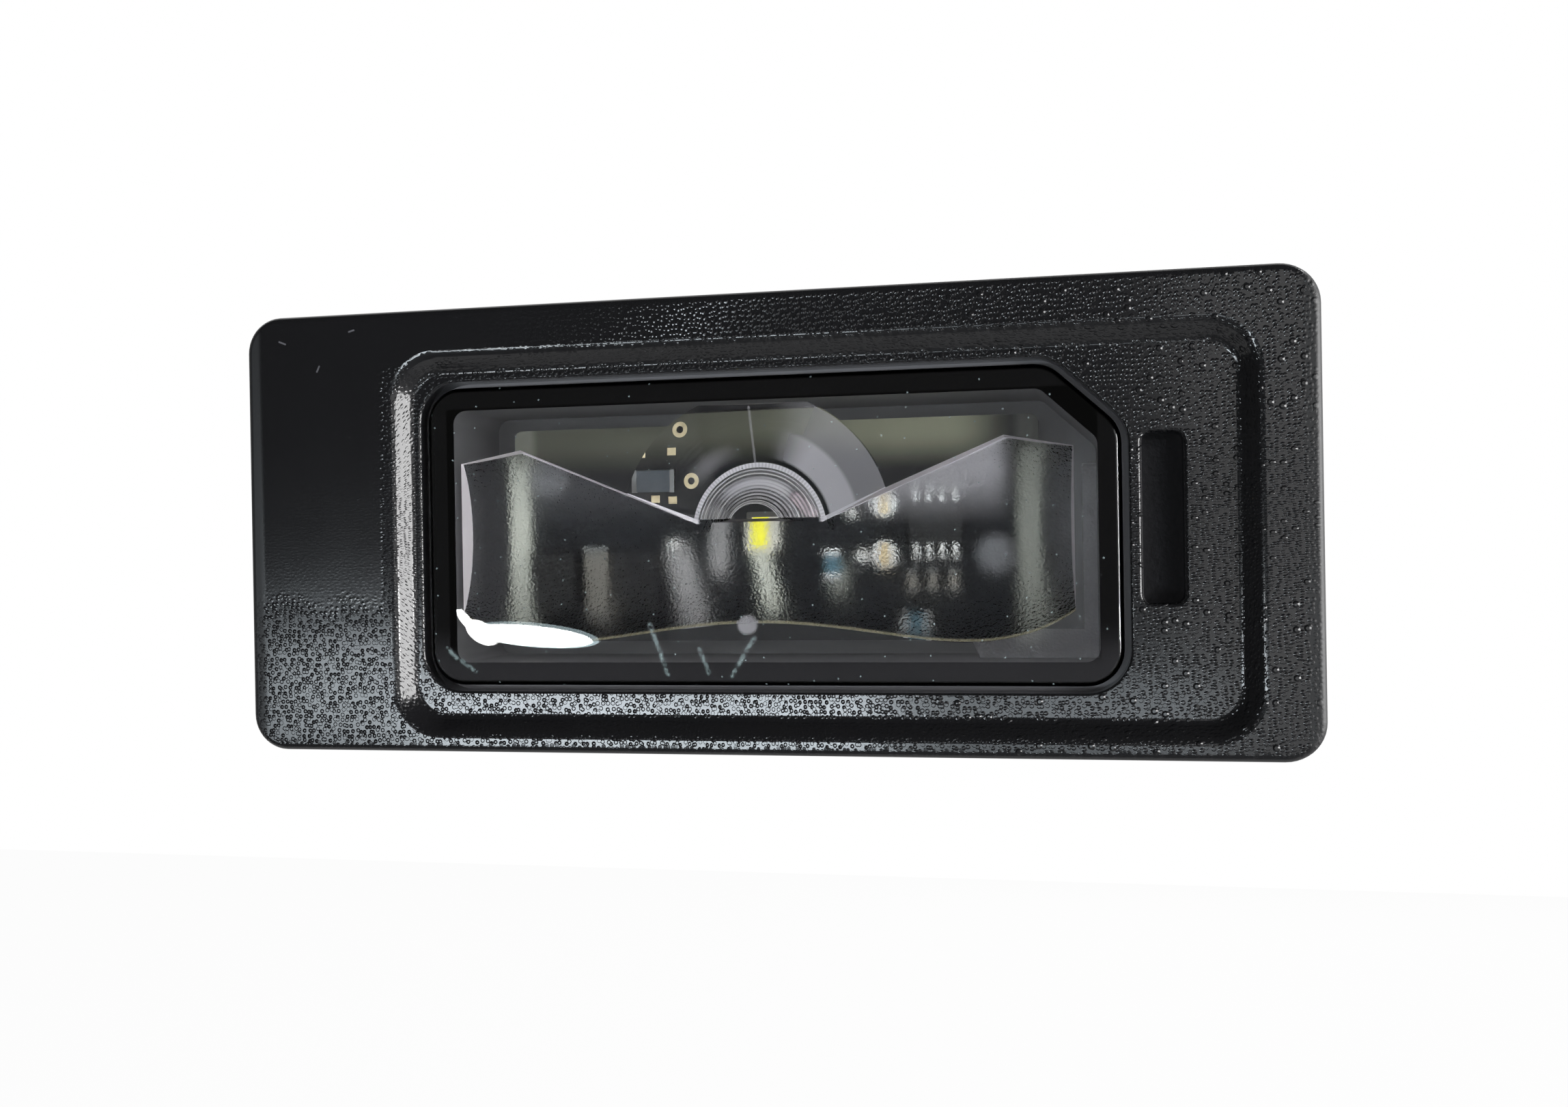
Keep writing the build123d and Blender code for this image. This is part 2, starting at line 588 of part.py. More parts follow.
def driver():
    """The driver circuit: a moulded body with a row of leads along each long side."""
    body = extrude(Rectangle(DRIVER_WIDTH, DRIVER_LENGTH), amount=DRIVER_HEIGHT, taper=MOULD_TAPER)
    body = Pos(0, 0, DRIVER_STANDOFF) * body
    lead = driver_lead()
    for number in range(DRIVER_LEADS_PER_SIDE):
        y = (number - (DRIVER_LEADS_PER_SIDE - 1) / 2) * LEAD_PITCH
        body += Pos(0, y, 0) * lead
        body += Rot(0, 0, 180) * (Pos(0, y, 0) * lead)
    return body


def board_parts():
    """Every part soldered to the board's front, by name, at its place."""
    upright = Rot(0, 0, 90)
    diode_y = BOARD_BOTTOM + DIODE_ROW
    first_x, first_y = CAPACITOR_1_OFFSET
    second_x, second_y = CAPACITOR_2_INSET
    third_x = (OPTIC_X + SOCKET_X) / 2 + CAPACITOR_3_SHIFT
    places = {
        "led_package": (OPTIC_X, OPTIC_Y, make_led_package()),
        "led_phosphor": (OPTIC_X, OPTIC_Y, make_led_phosphor()),
        "reverse_diode": (BOARD_LEFT + REVERSE_DIODE_INSET, diode_y, diode()),
        "power_resistor": (BOARD_LEFT + POWER_CHIP_INSET, diode_y, upright * chip(*POWER_CHIP)),
        "surge_diode": (BOARD_LEFT + SURGE_DIODE_INSET, diode_y, diode()),
        "driver_ic": (BOARD_RIGHT - DRIVER_INSET, BOARD_BOTTOM + DRIVER_ROW, upright * driver()),
        "capacitor_1": (OPTIC_X + first_x, OPTIC_Y + first_y, chip(*LARGE_CHIP)),
        "capacitor_2": (BOARD_RIGHT - second_x, BOARD_BOTTOM + second_y, chip(*MEDIUM_CHIP)),
        "capacitor_3": (third_x, OPTIC_Y - CAPACITOR_3_DROP, upright * chip(*MEDIUM_CHIP)),
    }
    for number in range(SMALL_CHIP_COUNT):
        x = BOARD_RIGHT - SMALL_CHIP_INSET + SMALL_CHIP_PITCH * number
        places[f"resistor_{number + 1}"] = (x, BOARD_BOTTOM + SMALL_CHIP_ROW, upright * chip(*SMALL_CHIP))
    return {name: Pos(x, y, Z_BOARD_FRONT) * piece for name, (x, y, piece) in places.items()}


def make_terminal():
    """One blade, from the solder side of the board back into the plug socket."""
    front = Z_BOARD_FRONT + TERMINAL_PROUD
    back = Z_REAR - TERMINAL_REACH
    blade = block(terminal_outline(0), back, front)
    return chamfer(blade.faces().sort_by(Axis.Z)[0].edges(), TERMINAL_TIP)


def make_solder_joint():
    """The cone of solder round a blade on the board's front."""
    align = (Align.CENTER, Align.CENTER, Align.MIN)
    cone = Cone(SOLDER_RADIUS, SOLDER_TOP_RADIUS, SOLDER_HEIGHT, align=align)
    blade = block(terminal_outline(0), 0, SOLDER_HEIGHT)
    return Pos(0, 0, Z_BOARD_FRONT) * (cone - blade)


def make_spring():
    """The steel leaf: fixed leg, bend, nose behind the panel, and the ramp under the slot for a blade."""
    half = SPRING_THICKNESS / 2
    leg_x = CHAMBER_RIGHT + SPRING_CLEARANCE + half
    bridge_right = CHAMBER_RIGHT + SPRING_THICKNESS + 2 * SPRING_CLEARANCE + SPRING_BRIDGE
    heel_x = bridge_right + SPRING_CLEARANCE + SPRING_THICKNESS + half
    ramp_x = leg_x + half + SPRING_LEG_GAP
    ramp_top = Z_LEDGE_BACK - SPRING_RAMP_GAP - half
    nose_x = FLANGE_LENGTH / 2 - SPRING_NOSE_INSET
    nose = min(-PANEL_THICKNESS - SPRING_THICKNESS, ramp_top) - SPRING_BEND
    tail = Z_REAR - SPRING_TAIL
    line = FilletPolyline(
        (leg_x, Z_LEDGE_BACK - SPRING_CLEARANCE),
        (leg_x, tail),
        (heel_x, tail),
        (heel_x, nose - SPRING_HEEL_LENGTH),
        (nose_x, nose),
        (ramp_x, ramp_top),
        radius=SPRING_BEND,
    )
    strip = Plane.XZ * trace(line, SPRING_THICKNESS)
    half_width = SHAFT_HALF_HEIGHT - SPRING_SIDE_PLAY
    return Pos(0, SLOT_Y, 0) * extrude(strip, amount=half_width, dir=(0, 1, 0), both=True)


def all_pieces():
    """Every piece by name, drawn from the front."""
    pieces = {
        "housing": make_housing(),
        "lens": make_lens(),
        "circuit_board": make_board(),
        "retaining_spring": make_spring(),
    }
    pieces.update(board_parts())
    for number, (x, y) in enumerate(TERMINAL_PLACES, start=1):
        pieces[f"terminal_pin_{number}"] = Pos(x, y, 0) * make_terminal()
        pieces[f"solder_joint_{number}"] = Pos(x, y, 0) * make_solder_joint()
    return pieces


def main():
    """Turn each piece upright and write it to its own file."""
    os.makedirs("parts", exist_ok=True)
    lens_to_front = Plane(origin=(0, 0, 0), x_dir=(1, 0, 0), z_dir=(0, -1, 0))
    for name, piece in all_pieces().items():
        export_step(lens_to_front.location * piece, f"parts/{name}.step")


main()
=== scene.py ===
"""Number plate lamp: finishes, board details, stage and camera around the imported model.

The frame is the model's own, in metres: +X along the lamp, +Z up, and the lens faces -Y. A finished piece
sits at the origin with its place in its mesh, so that patterns read the same coordinates as the model.
"""
import math

import bmesh
import bpy
from bpy.props import FloatProperty, FloatVectorProperty, PointerProperty
from bpy.types import Operator, Panel, PropertyGroup
from mathutils import Matrix, Quaternion, Vector


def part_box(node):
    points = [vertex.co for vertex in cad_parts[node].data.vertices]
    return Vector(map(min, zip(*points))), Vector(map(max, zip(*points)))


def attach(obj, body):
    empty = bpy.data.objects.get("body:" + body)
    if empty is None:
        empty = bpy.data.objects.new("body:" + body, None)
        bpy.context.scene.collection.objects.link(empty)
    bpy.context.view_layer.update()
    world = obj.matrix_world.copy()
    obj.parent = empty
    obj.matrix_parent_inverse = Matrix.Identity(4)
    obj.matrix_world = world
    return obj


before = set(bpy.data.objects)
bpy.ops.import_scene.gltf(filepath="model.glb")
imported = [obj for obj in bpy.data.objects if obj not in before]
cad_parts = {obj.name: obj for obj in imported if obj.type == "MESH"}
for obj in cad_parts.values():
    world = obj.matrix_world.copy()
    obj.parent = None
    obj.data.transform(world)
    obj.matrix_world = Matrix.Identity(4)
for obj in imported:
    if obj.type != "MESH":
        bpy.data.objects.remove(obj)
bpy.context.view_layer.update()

bl_info = {
    "name": "Number plate lamp",
    "version": (1, 0, 0),
    "blender": (4, 5, 0),
    "location": "3D View > Sidebar > Lamp",
    "description": "Finishes, board details, stage and camera of a number plate lamp",
    "category": "Object",
}

MM = 0.001
LENS_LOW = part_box("lens")[0]
BOARD_LOW, BOARD_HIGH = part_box("circuit_board")
LED_LOW, LED_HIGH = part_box("led_package")
FLANGE_LOW, FLANGE_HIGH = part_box("housing")
OPTIC = (LED_LOW + LED_HIGH) / 2
BOARD_MIDDLE = (BOARD_LOW + BOARD_HIGH) / 2

# The back of the lens plate, and the edges of the window inside its welded border
PLATE_BACK = 0.2 * MM
WINDOW_LEFT, WINDOW_RIGHT, WINDOW_TOP = -23.3 * MM, 24.55 * MM, 9.1 * MM
WINDOW_SOFT = 0.05 * MM

# Width of the full picture in pixels
IMAGE_WIDTH = 2296

# Lines on the lamp seen from the front, each from one point to another, in millimetres from its origin
NICKS = (
    ((-36.2, 14.6), (-35.7, 14.4)),
    ((-33.1, 12.2), (-32.9, 12.6)),
    ((-30.4, 15.1), (-30.0, 15.2)),
)
SCUFFS = (
    ((-7.6, -7.2), (-6.3, -10.8)),
    ((-3.9, -9.0), (-3.2, -10.7)),
    ((0.2, -8.2), (-1.5, -10.9)),
    ((-23.5, -8.9), (-22.8, -9.6)),
    ((-22.4, -9.8), (-21.3, -10.6)),
)
GATE_MARK = ((-0.65, -7.3), (-0.55, -7.3))
RIDGE = ((-0.15, 4.6), (-0.3, 8.6))
RING_FOOT = ((2.9, 2.4), (4.0, 1.2))

# Places on the board, in millimetres from the light source
VIAS = ((-5.3, 3.6), (-6.2, 7.2))
GOLD_PADS = ((-9.1, 5.6), (-6.8, 5.7), (-8.0, 2.4), (-6.7, 2.3))
SOLDER_DOTS = ((7.3, -1.75), (-7.5, -0.8), (6.5, 1.2))
LED_TRACK = ((-0.55, -1.2), (0.25, -4.6))
WIDE_TRACK = ((-7.0, -1.6), (-6.0, -5.4))
NARROW_TRACK = ((-3.7, 1.0), (-3.8, -2.2))
RIGHT_TRACK = ((5.6, -2.6), (5.6, -3.6))

# Narrow lights in front at the lower left: middle, size and tilt, in metres and degrees
TUBES = (
    ((-0.2188, -0.5, -0.0390), (0.060, 0.0094), 5),
    ((-0.2415, -0.5, -0.0375), (0.017, 0.0095), 30),
    ((-0.2492, -0.5, -0.0317), (0.0125, 0.0046), 50),
)


class Socket:
    """One output of a shader node. Arithmetic on it adds Math nodes to the same finish."""

    def __init__(self, finish, output):
        self.finish = finish
        self.output = output

    def __add__(self, other):
        return self.finish.math("ADD", self, other)

    def __radd__(self, other):
        return self.finish.math("ADD", other, self)

    def __sub__(self, other):
        return self.finish.math("SUBTRACT", self, other)

    def __rsub__(self, other):
        return self.finish.math("SUBTRACT", other, self)

    def __mul__(self, other):
        return self.finish.math("MULTIPLY", self, other)

    def __rmul__(self, other):
        return self.finish.math("MULTIPLY", other, self)

    def __truediv__(self, other):
        return self.finish.math("DIVIDE", self, other)

    def __rtruediv__(self, other):
        return self.finish.math("DIVIDE", other, self)

    def __neg__(self):
        return self.finish.math("MULTIPLY", self, -1.0)

    def __abs__(self):
        return self.finish.math("ABSOLUTE", self)


class Finish:
    """A node tree of a material or of the world, written as expressions."""

    def __init__(self, owner):
        owner.use_nodes = True
        self.tree = owner.node_tree
        self.tree.nodes.clear()

    def node(self, kind, settings=None, sockets=None, output=0):
        """Add a node of this type, apply its settings, then feed its sockets. Gives one of its outputs."""
        made = self.tree.nodes.new("ShaderNode" + kind)
        for name, value in (settings or {}).items():
            setattr(made, name, value)
        for key, value in (sockets or {}).items():
            if isinstance(value, Socket):
                self.tree.links.new(value.output, made.inputs[key])
            else:
                made.inputs[key].default_value = value
        return Socket(self, made.outputs[output]) if made.outputs else None

    def math(self, operation, *terms):
        """One Math node on sockets and numbers."""
        return self.node("Math", {"operation": operation}, dict(enumerate(terms)))

    def lowest(self, a, b):
        """The smaller of two values."""
        return self.math("MINIMUM", a, b)

    def highest(self, a, b):
        """The larger of two values."""
        return self.math("MAXIMUM", a, b)

    def place(self):
        """The point on the piece, as three sockets in metres."""
        point = self.node("TexCoord", output="Object")
        return point, [self.node("SeparateXYZ", None, {0: point}, axis) for axis in "XYZ"]

    def rise(self, value, low, high):
        """A smooth step from 0 at low to 1 at high."""
        return self.node("MapRange", {"interpolation_type": "SMOOTHSTEP"},
                         {"Value": value, "From Min": low, "From Max": high})

    def bell(self, value, middle, reach):
        """A soft hump of 1 at the middle, which ends at this reach on both sides."""
        return 1 - self.rise(abs(value - middle), 0.0, reach)

    def cells(self, point, cell, output="Distance"):
        """Round cells of this width, seen from the front: distance from the middle, or a random colour."""
        return self.node("TexVoronoi", {"voronoi_dimensions": "2D"},
                         {"Vector": point, "Scale": 1 / cell, "Randomness": 0.8}, output)

    def noise(self, point, cell, detail=2.0, roughness=0.5):
        """Cloudy noise from 0 to 1, with features of this size."""
        return self.node("TexNoise", None,
                         {"Vector": point, "Scale": 1 / cell, "Detail": detail, "Roughness": roughness})

    def blend(self, factor, first, second):
        """A colour between two colours."""
        return self.node("Mix", {"data_type": "RGBA"}, {0: factor, 6: first, 7: second}, 2)

    def bump(self, height, distance):
        """A normal tilted by a height, which is multiplied by this distance."""
        return self.node("Bump", None, {"Height": height, "Distance": distance, "Strength": 1.0})

    def principled(self, **sockets):
        """The main shader. Socket names are written with low lines for spaces."""
        named = {name.replace("_", " "): value for name, value in sockets.items()}
        return self.node("BsdfPrincipled", None, named)

    def mix(self, factor, first, second):
        """A shader between two shaders."""
        return self.node("MixShader", None, {0: factor, 1: first, 2: second})

    def surface(self, shader):
        """Send a shader to the material's output."""
        self.node("OutputMaterial", None, {"Surface": shader})


def colour(values):
    """A colour property as a colour with full alpha."""
    return (values[0], values[1], values[2], 1.0)


def new_finish(name):
    """A new material and its node tree."""
    material = bpy.data.materials.new(name)
    return material, Finish(material)


def dress(node, material):
    """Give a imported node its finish."""
    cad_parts[node].data.materials[0] = material


def metal_finish(name, tone, roughness):
    """Plated metal with a slightly uneven tone."""
    material, finish = new_finish(name)
    point, _ = finish.place()
    cloud = finish.noise(point, 0.4 * MM, 3.0)
    shade = finish.blend(cloud, colour(tone), colour([c * 0.75 for c in tone]))
    finish.surface(finish.principled(Base_Color=shade, Metallic=1.0, Roughness=roughness,
                                     Normal=finish.bump(cloud, 0.03 * MM)))
    return material


def add_piece(name, shape, material):
    """Turn a finished bmesh into a piece that rides with the lamp."""
    bmesh.ops.recalc_face_normals(shape, faces=shape.faces[:])
    mesh = bpy.data.meshes.new(name)
    shape.to_mesh(mesh)
    shape.free()
    mesh.materials.append(material)
    piece = bpy.data.objects.new(name, mesh)
    bpy.context.collection.objects.link(piece)
    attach(piece, "root")


def capsule(finish, x, z, start, end):
    """Distance from a line between two points given in millimetres, seen from the front."""
    start = (start[0] * MM, start[1] * MM)
    run, rise = end[0] * MM - start[0], end[1] * MM - start[1]
    along = ((x - start[0]) * run + (z - start[1]) * rise) / (run * run + rise * rise)
    along = finish.highest(finish.lowest(along, 1.0), 0.0)
    off_x = x - start[0] - along * run
    off_z = z - start[1] - along * rise
    return finish.math("SQRT", off_x * off_x + off_z * off_z)


class LampHousingLook(PropertyGroup):
    """The black moulding."""

    plastic: FloatVectorProperty(
        name="Plastic", description="Colour of the black moulding", subtype="COLOR",
        default=(0.0062, 0.0062, 0.007), min=0, max=1)
    pocket: FloatVectorProperty(
        name="Pocket", description="Colour of the polished pocket round the lens", subtype="COLOR",
        default=(0.006, 0.006, 0.0066), min=0, max=1)
    # Painted light: the faces behind the lens are the same black moulding, painted much lighter to stand in
    # for the light that comes in through the lens.
    chamber_painted_light: FloatVectorProperty(
        name="Chamber", description="Colour of the plain faces behind the lens", subtype="COLOR",
        default=(0.15, 0.15, 0.162), min=0, max=1)
    dust: FloatVectorProperty(
        name="Dust", description="Colour of dust and nicks", subtype="COLOR",
        default=(0.10, 0.10, 0.11), min=0, max=1)
    grain_cell: FloatProperty(
        name="Grain size", description="Width of one pebble of the moulded grain",
        default=0.36 * MM, unit="LENGTH", precision=6)
    grain_slope: FloatProperty(
        name="Grain slope", description="Slope of the sides of most pebbles", default=0.277)
    upper_left_wear: FloatProperty(
        name="Upper left wear", description="How much flatter the grain is at the upper left", default=0.97,
        subtype="FACTOR")
    steep_cell: FloatProperty(
        name="Steep pebble", description="Spacing of the cells that hold the few steep pebbles",
        default=0.70 * MM, unit="LENGTH", precision=6)
    steep_slope: FloatProperty(
        name="Steep slope", description="Slope of the sides of the few steep pebbles", default=0.60)
    end_roughness: FloatProperty(
        name="End roughness", description="Extra roughness at the flange's two ends",
        default=0.35, subtype="FACTOR")
    sheen_roughness: FloatProperty(
        name="Roughness", description="Roughness of the plastic between the pebbles",
        default=0.09, subtype="FACTOR")
    dish_depth: FloatProperty(
        name="Dish depth", description="Depth of the dish's floor behind the flange's front",
        default=1.2 * MM, unit="LENGTH", precision=6)
    mouth_bevel: FloatProperty(
        name="Mouth bevel", description="Depth of the bevel at the mouths of the slot and the pocket",
        default=0.25 * MM, unit="LENGTH", precision=6)
    mouth_crown: FloatProperty(
        name="Mouth crown", description="How far that bevel bulges",
        default=0.055 * MM, unit="LENGTH", precision=6)
    grain_depth: FloatProperty(
        name="Grain depth", description="How far behind the flange's front the grain ends",
        default=1.45 * MM, unit="LENGTH", precision=6)


class LampLensLook(PropertyGroup):
    """The clear moulding and its worn front."""

    clear: FloatVectorProperty(
        name="Clear plastic", description="Tint of the clear plastic", subtype="COLOR",
        default=(0.985, 0.99, 0.99), min=0, max=1)
    frost: FloatVectorProperty(
        name="Frost", description="Colour of frosted and scattering places", subtype="COLOR",
        default=(0.90, 0.88, 0.94), min=0, max=1)
    cut_face: FloatVectorProperty(
        name="Cut face", description="Colour of the wings' frosted end faces", subtype="COLOR",
        default=(1.0, 0.95, 1.0), min=0, max=1)
    # Painted light: this line stands for the board's pale border seen through the wings' lower edge.
    low_line: FloatVectorProperty(
        name="Low line", description="Colour of the line along the wings' lower edge", subtype="COLOR",
        default=(0.55, 0.50, 0.33), min=0, max=1)
    scuff: FloatVectorProperty(
        name="Scuff", description="Colour of the scuffs on the front", subtype="COLOR",
        default=(0.42, 0.54, 0.55), min=0, max=1)
    wing_shoulder: FloatProperty(
        name="Wing shoulder", description="Distance of the wings' highest point from the optic's axis",
        default=18.0 * MM, unit="LENGTH", precision=5)
    wing_shoulder_rise: FloatProperty(
        name="Shoulder rise", description="Height of the wings' highest point over the optic's axis",
        default=6.475 * MM, unit="LENGTH", precision=5)
    wing_notch_rise: FloatProperty(
        name="Notch rise", description="Height of the wings' upper edge over the axis inside the ring",
        default=0.95 * MM, unit="LENGTH", precision=5)
    wing_roughness: FloatProperty(
        name="Wing roughness", description="Roughness of the grained wings", default=0.34, subtype="FACTOR")
    wing_grain: FloatProperty(
        name="Wing grain", description="Width of the grain on the wings",
        default=0.20 * MM, unit="LENGTH", precision=6)
    wing_grain_height: FloatProperty(
        name="Wing grain height", description="Height of the grain on the wings",
        default=0.11 * MM, unit="LENGTH", precision=6)
    crest_width: FloatProperty(
        name="Crest line", description="Width of the pale line along the wings' upper edge",
        default=0.36 * MM, unit="LENGTH", precision=6)
    # Painted glow: emission on the left wing's crest and cut faces, standing in for light that the clear
    # plastic leads there.
    painted_edge_glow: FloatProperty(
        name="Edge glow", description="Light that the clear plastic leads to the left wing's edges",
        default=0.13)
    patch_haze: FloatProperty(
        name="Patch haze", description="How much the grained strip on the plate's back scatters",
        default=0.09, subtype="FACTOR")
    # Painted light: the wing haze is frost colour standing in for scattered light, stronger on the lit right.
    left_painted_haze: FloatProperty(
        name="Left haze", description="How much the left wing scatters near its upper edge",
        default=0.10, subtype="FACTOR")
    right_painted_haze: FloatProperty(
        name="Right haze", description="How much the right wing scatters near its upper edge",
        default=0.55, subtype="FACTOR")
    # Painted light: the ring haze is frost colour standing in for light on the half ring's slope.
    ring_painted_haze: FloatProperty(
        name="Ring haze", description="How much the right part of the half ring scatters",
        default=0.75, subtype="FACTOR")
    ring_inner: FloatProperty(
        name="Ring radius", description="Inner radius of the half ring's lip",
        default=4.75 * MM, unit="LENGTH", precision=5)
    ring_lip: FloatProperty(
        name="Ring lip", description="Width of the half ring's frosted lip",
        default=0.3 * MM, unit="LENGTH", precision=5)
    groove: FloatProperty(
        name="Groove", description="Spacing of the fine grooves inside the half ring",
        default=0.26 * MM, unit="LENGTH", precision=6)
    edge_depth: FloatProperty(
        name="Edge depth", description="Depth of the front's bevelled edge",
        default=0.4 * MM, unit="LENGTH", precision=6)
    edge_crown: FloatProperty(
        name="Edge crown", description="How far the bevelled edge bulges",
        default=0.09 * MM, unit="LENGTH", precision=6)
    spot_radius: FloatProperty(
        name="Gate mark", description="Radius of the round mark at the wings' lower edge",
        default=0.85 * MM, unit="LENGTH", precision=6)
    scuff_width: FloatProperty(
        name="Scuff width", description="Half width of the scuffs on the front",
        default=0.28 * MM, unit="LENGTH", precision=6)
    # Painted sheen: a faint bluish colour on the lens front over its border, standing in for a reflection,
    # stronger along the bottom.
    weld: FloatVectorProperty(
        name="Weld", description="Colour of the faint haze over the welded border", subtype="COLOR",
        default=(0.72, 0.76, 0.92), min=0, max=1)
    foot: FloatVectorProperty(
        name="Ring foot", description="Colour of the half ring's right foot", subtype="COLOR",
        default=(0.95, 0.80, 0.88), min=0, max=1)


class LampBoardLook(PropertyGroup):
    """The circuit board and what is soldered to it."""

    mask: FloatVectorProperty(
        name="Solder mask", description="Colour of the dark solder mask", subtype="COLOR",
        default=(0.009, 0.010, 0.012), min=0, max=1)
    laminate: FloatVectorProperty(
        name="Laminate", description="Colour of the bare border", subtype="COLOR",
        default=(0.80, 0.81, 0.71), min=0, max=1)
    # The bare border along the top, painted in a dimmer colour as painted shade.
    shaded_top_border: FloatVectorProperty(
        name="Olive", description="Colour of the thin mask along the top edge", subtype="COLOR",
        default=(0.58, 0.58, 0.41), min=0, max=1)
    track: FloatVectorProperty(
        name="Track", description="Colour of the wide tinned tracks", subtype="COLOR",
        default=(0.52, 0.50, 0.50), min=0, max=1)
    border: FloatProperty(
        name="Border", description="Width of the bare border", default=1.6 * MM, unit="LENGTH", precision=6)
    gold: FloatVectorProperty(
        name="Gold", description="Colour of the plated pads", subtype="COLOR",
        default=(0.66, 0.55, 0.35), min=0, max=1)
    tin: FloatVectorProperty(
        name="Tin", description="Colour of solder and tinned ends", subtype="COLOR",
        default=(0.80, 0.79, 0.77), min=0, max=1)
    dull_tin: FloatVectorProperty(
        name="Dull tin", description="Colour of dull leads and pads", subtype="COLOR",
        default=(0.16, 0.16, 0.16), min=0, max=1)
    package: FloatVectorProperty(
        name="Package", description="Colour of the light source's body", subtype="COLOR",
        default=(0.85, 0.82, 0.72), min=0, max=1)
    phosphor: FloatVectorProperty(
        name="Phosphor", description="Colour of the light source's phosphor", subtype="COLOR",
        default=(0.92, 0.87, 0.02), min=0, max=1)
    # Painted glow: emission on the phosphor, though the light source is off.
    phosphor_painted_glow: FloatProperty(
        name="Phosphor glow", description="Strength of the phosphor's glow in daylight", default=0.35)
    moulding: FloatVectorProperty(
        name="Moulding", description="Colour of the diodes and the driver", subtype="COLOR",
        default=(0.02, 0.02, 0.021), min=0, max=1)
    resistor: FloatVectorProperty(
        name="Resistor", description="Colour of the chip resistors", subtype="COLOR",
        default=(0.27, 0.25, 0.22), min=0, max=1)
    capacitor: FloatVectorProperty(
        name="Capacitor", description="Colour of the small chip capacitors", subtype="COLOR",
        default=(0.10, 0.20, 0.26), min=0, max=1)
    large_capacitor: FloatVectorProperty(
        name="Large capacitor", description="Colour of the large chip capacitor", subtype="COLOR",
        default=(0.10, 0.118, 0.14), min=0, max=1)
    brass: FloatVectorProperty(
        name="Brass", description="Colour of the tinned brass blades", subtype="COLOR",
        default=(0.72, 0.56, 0.32), min=0, max=1)
    steel: FloatVectorProperty(
        name="Steel", description="Colour of the dark spring steel", subtype="COLOR",
        default=(0.035, 0.035, 0.038), min=0, max=1)
    pad_height: FloatProperty(
        name="Pad height", description="Height of the pads over the board",
        default=0.04 * MM, unit="LENGTH", precision=6)
    via_radius: FloatProperty(
        name="Via radius", description="Radius of a via's hole",
        default=0.25 * MM, unit="LENGTH", precision=6)
    ring_width: FloatProperty(
        name="Ring width", description="Width of the ring round a via",
        default=0.3 * MM, unit="LENGTH", precision=6)
    gold_pad_size: FloatVectorProperty(
        name="Gold pad", description="Width and height of a plated pad", size=2,
        default=(0.65 * MM, 0.55 * MM), unit="LENGTH", precision=6)
    dot_radius: FloatProperty(
        name="Solder dot", description="Radius of a small solder dot",
        default=0.55 * MM, unit="LENGTH", precision=6)
    dot_rise: FloatProperty(
        name="Dot rise", description="Height of a solder dot as a share of its radius",
        default=0.5, subtype="FACTOR")
    cap_length: FloatProperty(
        name="Chip cap", description="Length of the metal caps of a chip",
        default=0.35 * MM, unit="LENGTH", precision=6)
    tab_reach: FloatProperty(
        name="Diode tab", description="Reach of a diode's tabs past its body",
        default=0.55 * MM, unit="LENGTH", precision=6)
    lead_reach: FloatProperty(
        name="Driver lead", description="Reach of the driver's leads past its body",
        default=1.05 * MM, unit="LENGTH", precision=6)


class LampStage(PropertyGroup):
    """Floor, light and camera."""

    floor_drop: FloatProperty(
        name="Floor drop", description="Distance of the floor under the lamp",
        default=0.15, unit="LENGTH")
    floor_reach: FloatProperty(
        name="Floor reach", description="Half the width of the floor", default=0.6, unit="LENGTH")
    fill: FloatProperty(
        name="Fill", description="Strength of the even light from all around", default=0.08)
    lens_fill: FloatProperty(
        name="Lens fill", description="Strength of the even light that comes in through the lens",
        default=0.35)
    glow: FloatVectorProperty(
        name="Glow", description="Tint of the weak light round the narrow ones", subtype="COLOR",
        default=(0.75, 0.95, 1.0), min=0, max=1)
    sky: FloatVectorProperty(
        name="Sky", description="Tint of the low softboxes", subtype="COLOR",
        default=(0.85, 0.94, 1.0), min=0, max=1)
    camera_place: FloatVectorProperty(
        name="Camera", description="Place of the camera", subtype="TRANSLATION", unit="LENGTH",
        default=(0.02315, -0.1009, -0.00177), precision=5)
    azimuth: FloatProperty(
        name="Azimuth", description="Turn of the camera to the lamp's right",
        default=math.radians(11.77), subtype="ANGLE")
    elevation: FloatProperty(
        name="Elevation", description="Tilt of the camera from above",
        default=math.radians(0.21), subtype="ANGLE")
    roll: FloatProperty(
        name="Roll", description="Roll of the camera", default=math.radians(-0.985), subtype="ANGLE")
    focal_pixels: FloatProperty(
        name="Focal length", description="Focal length in pixels of the full picture", default=2070.0)


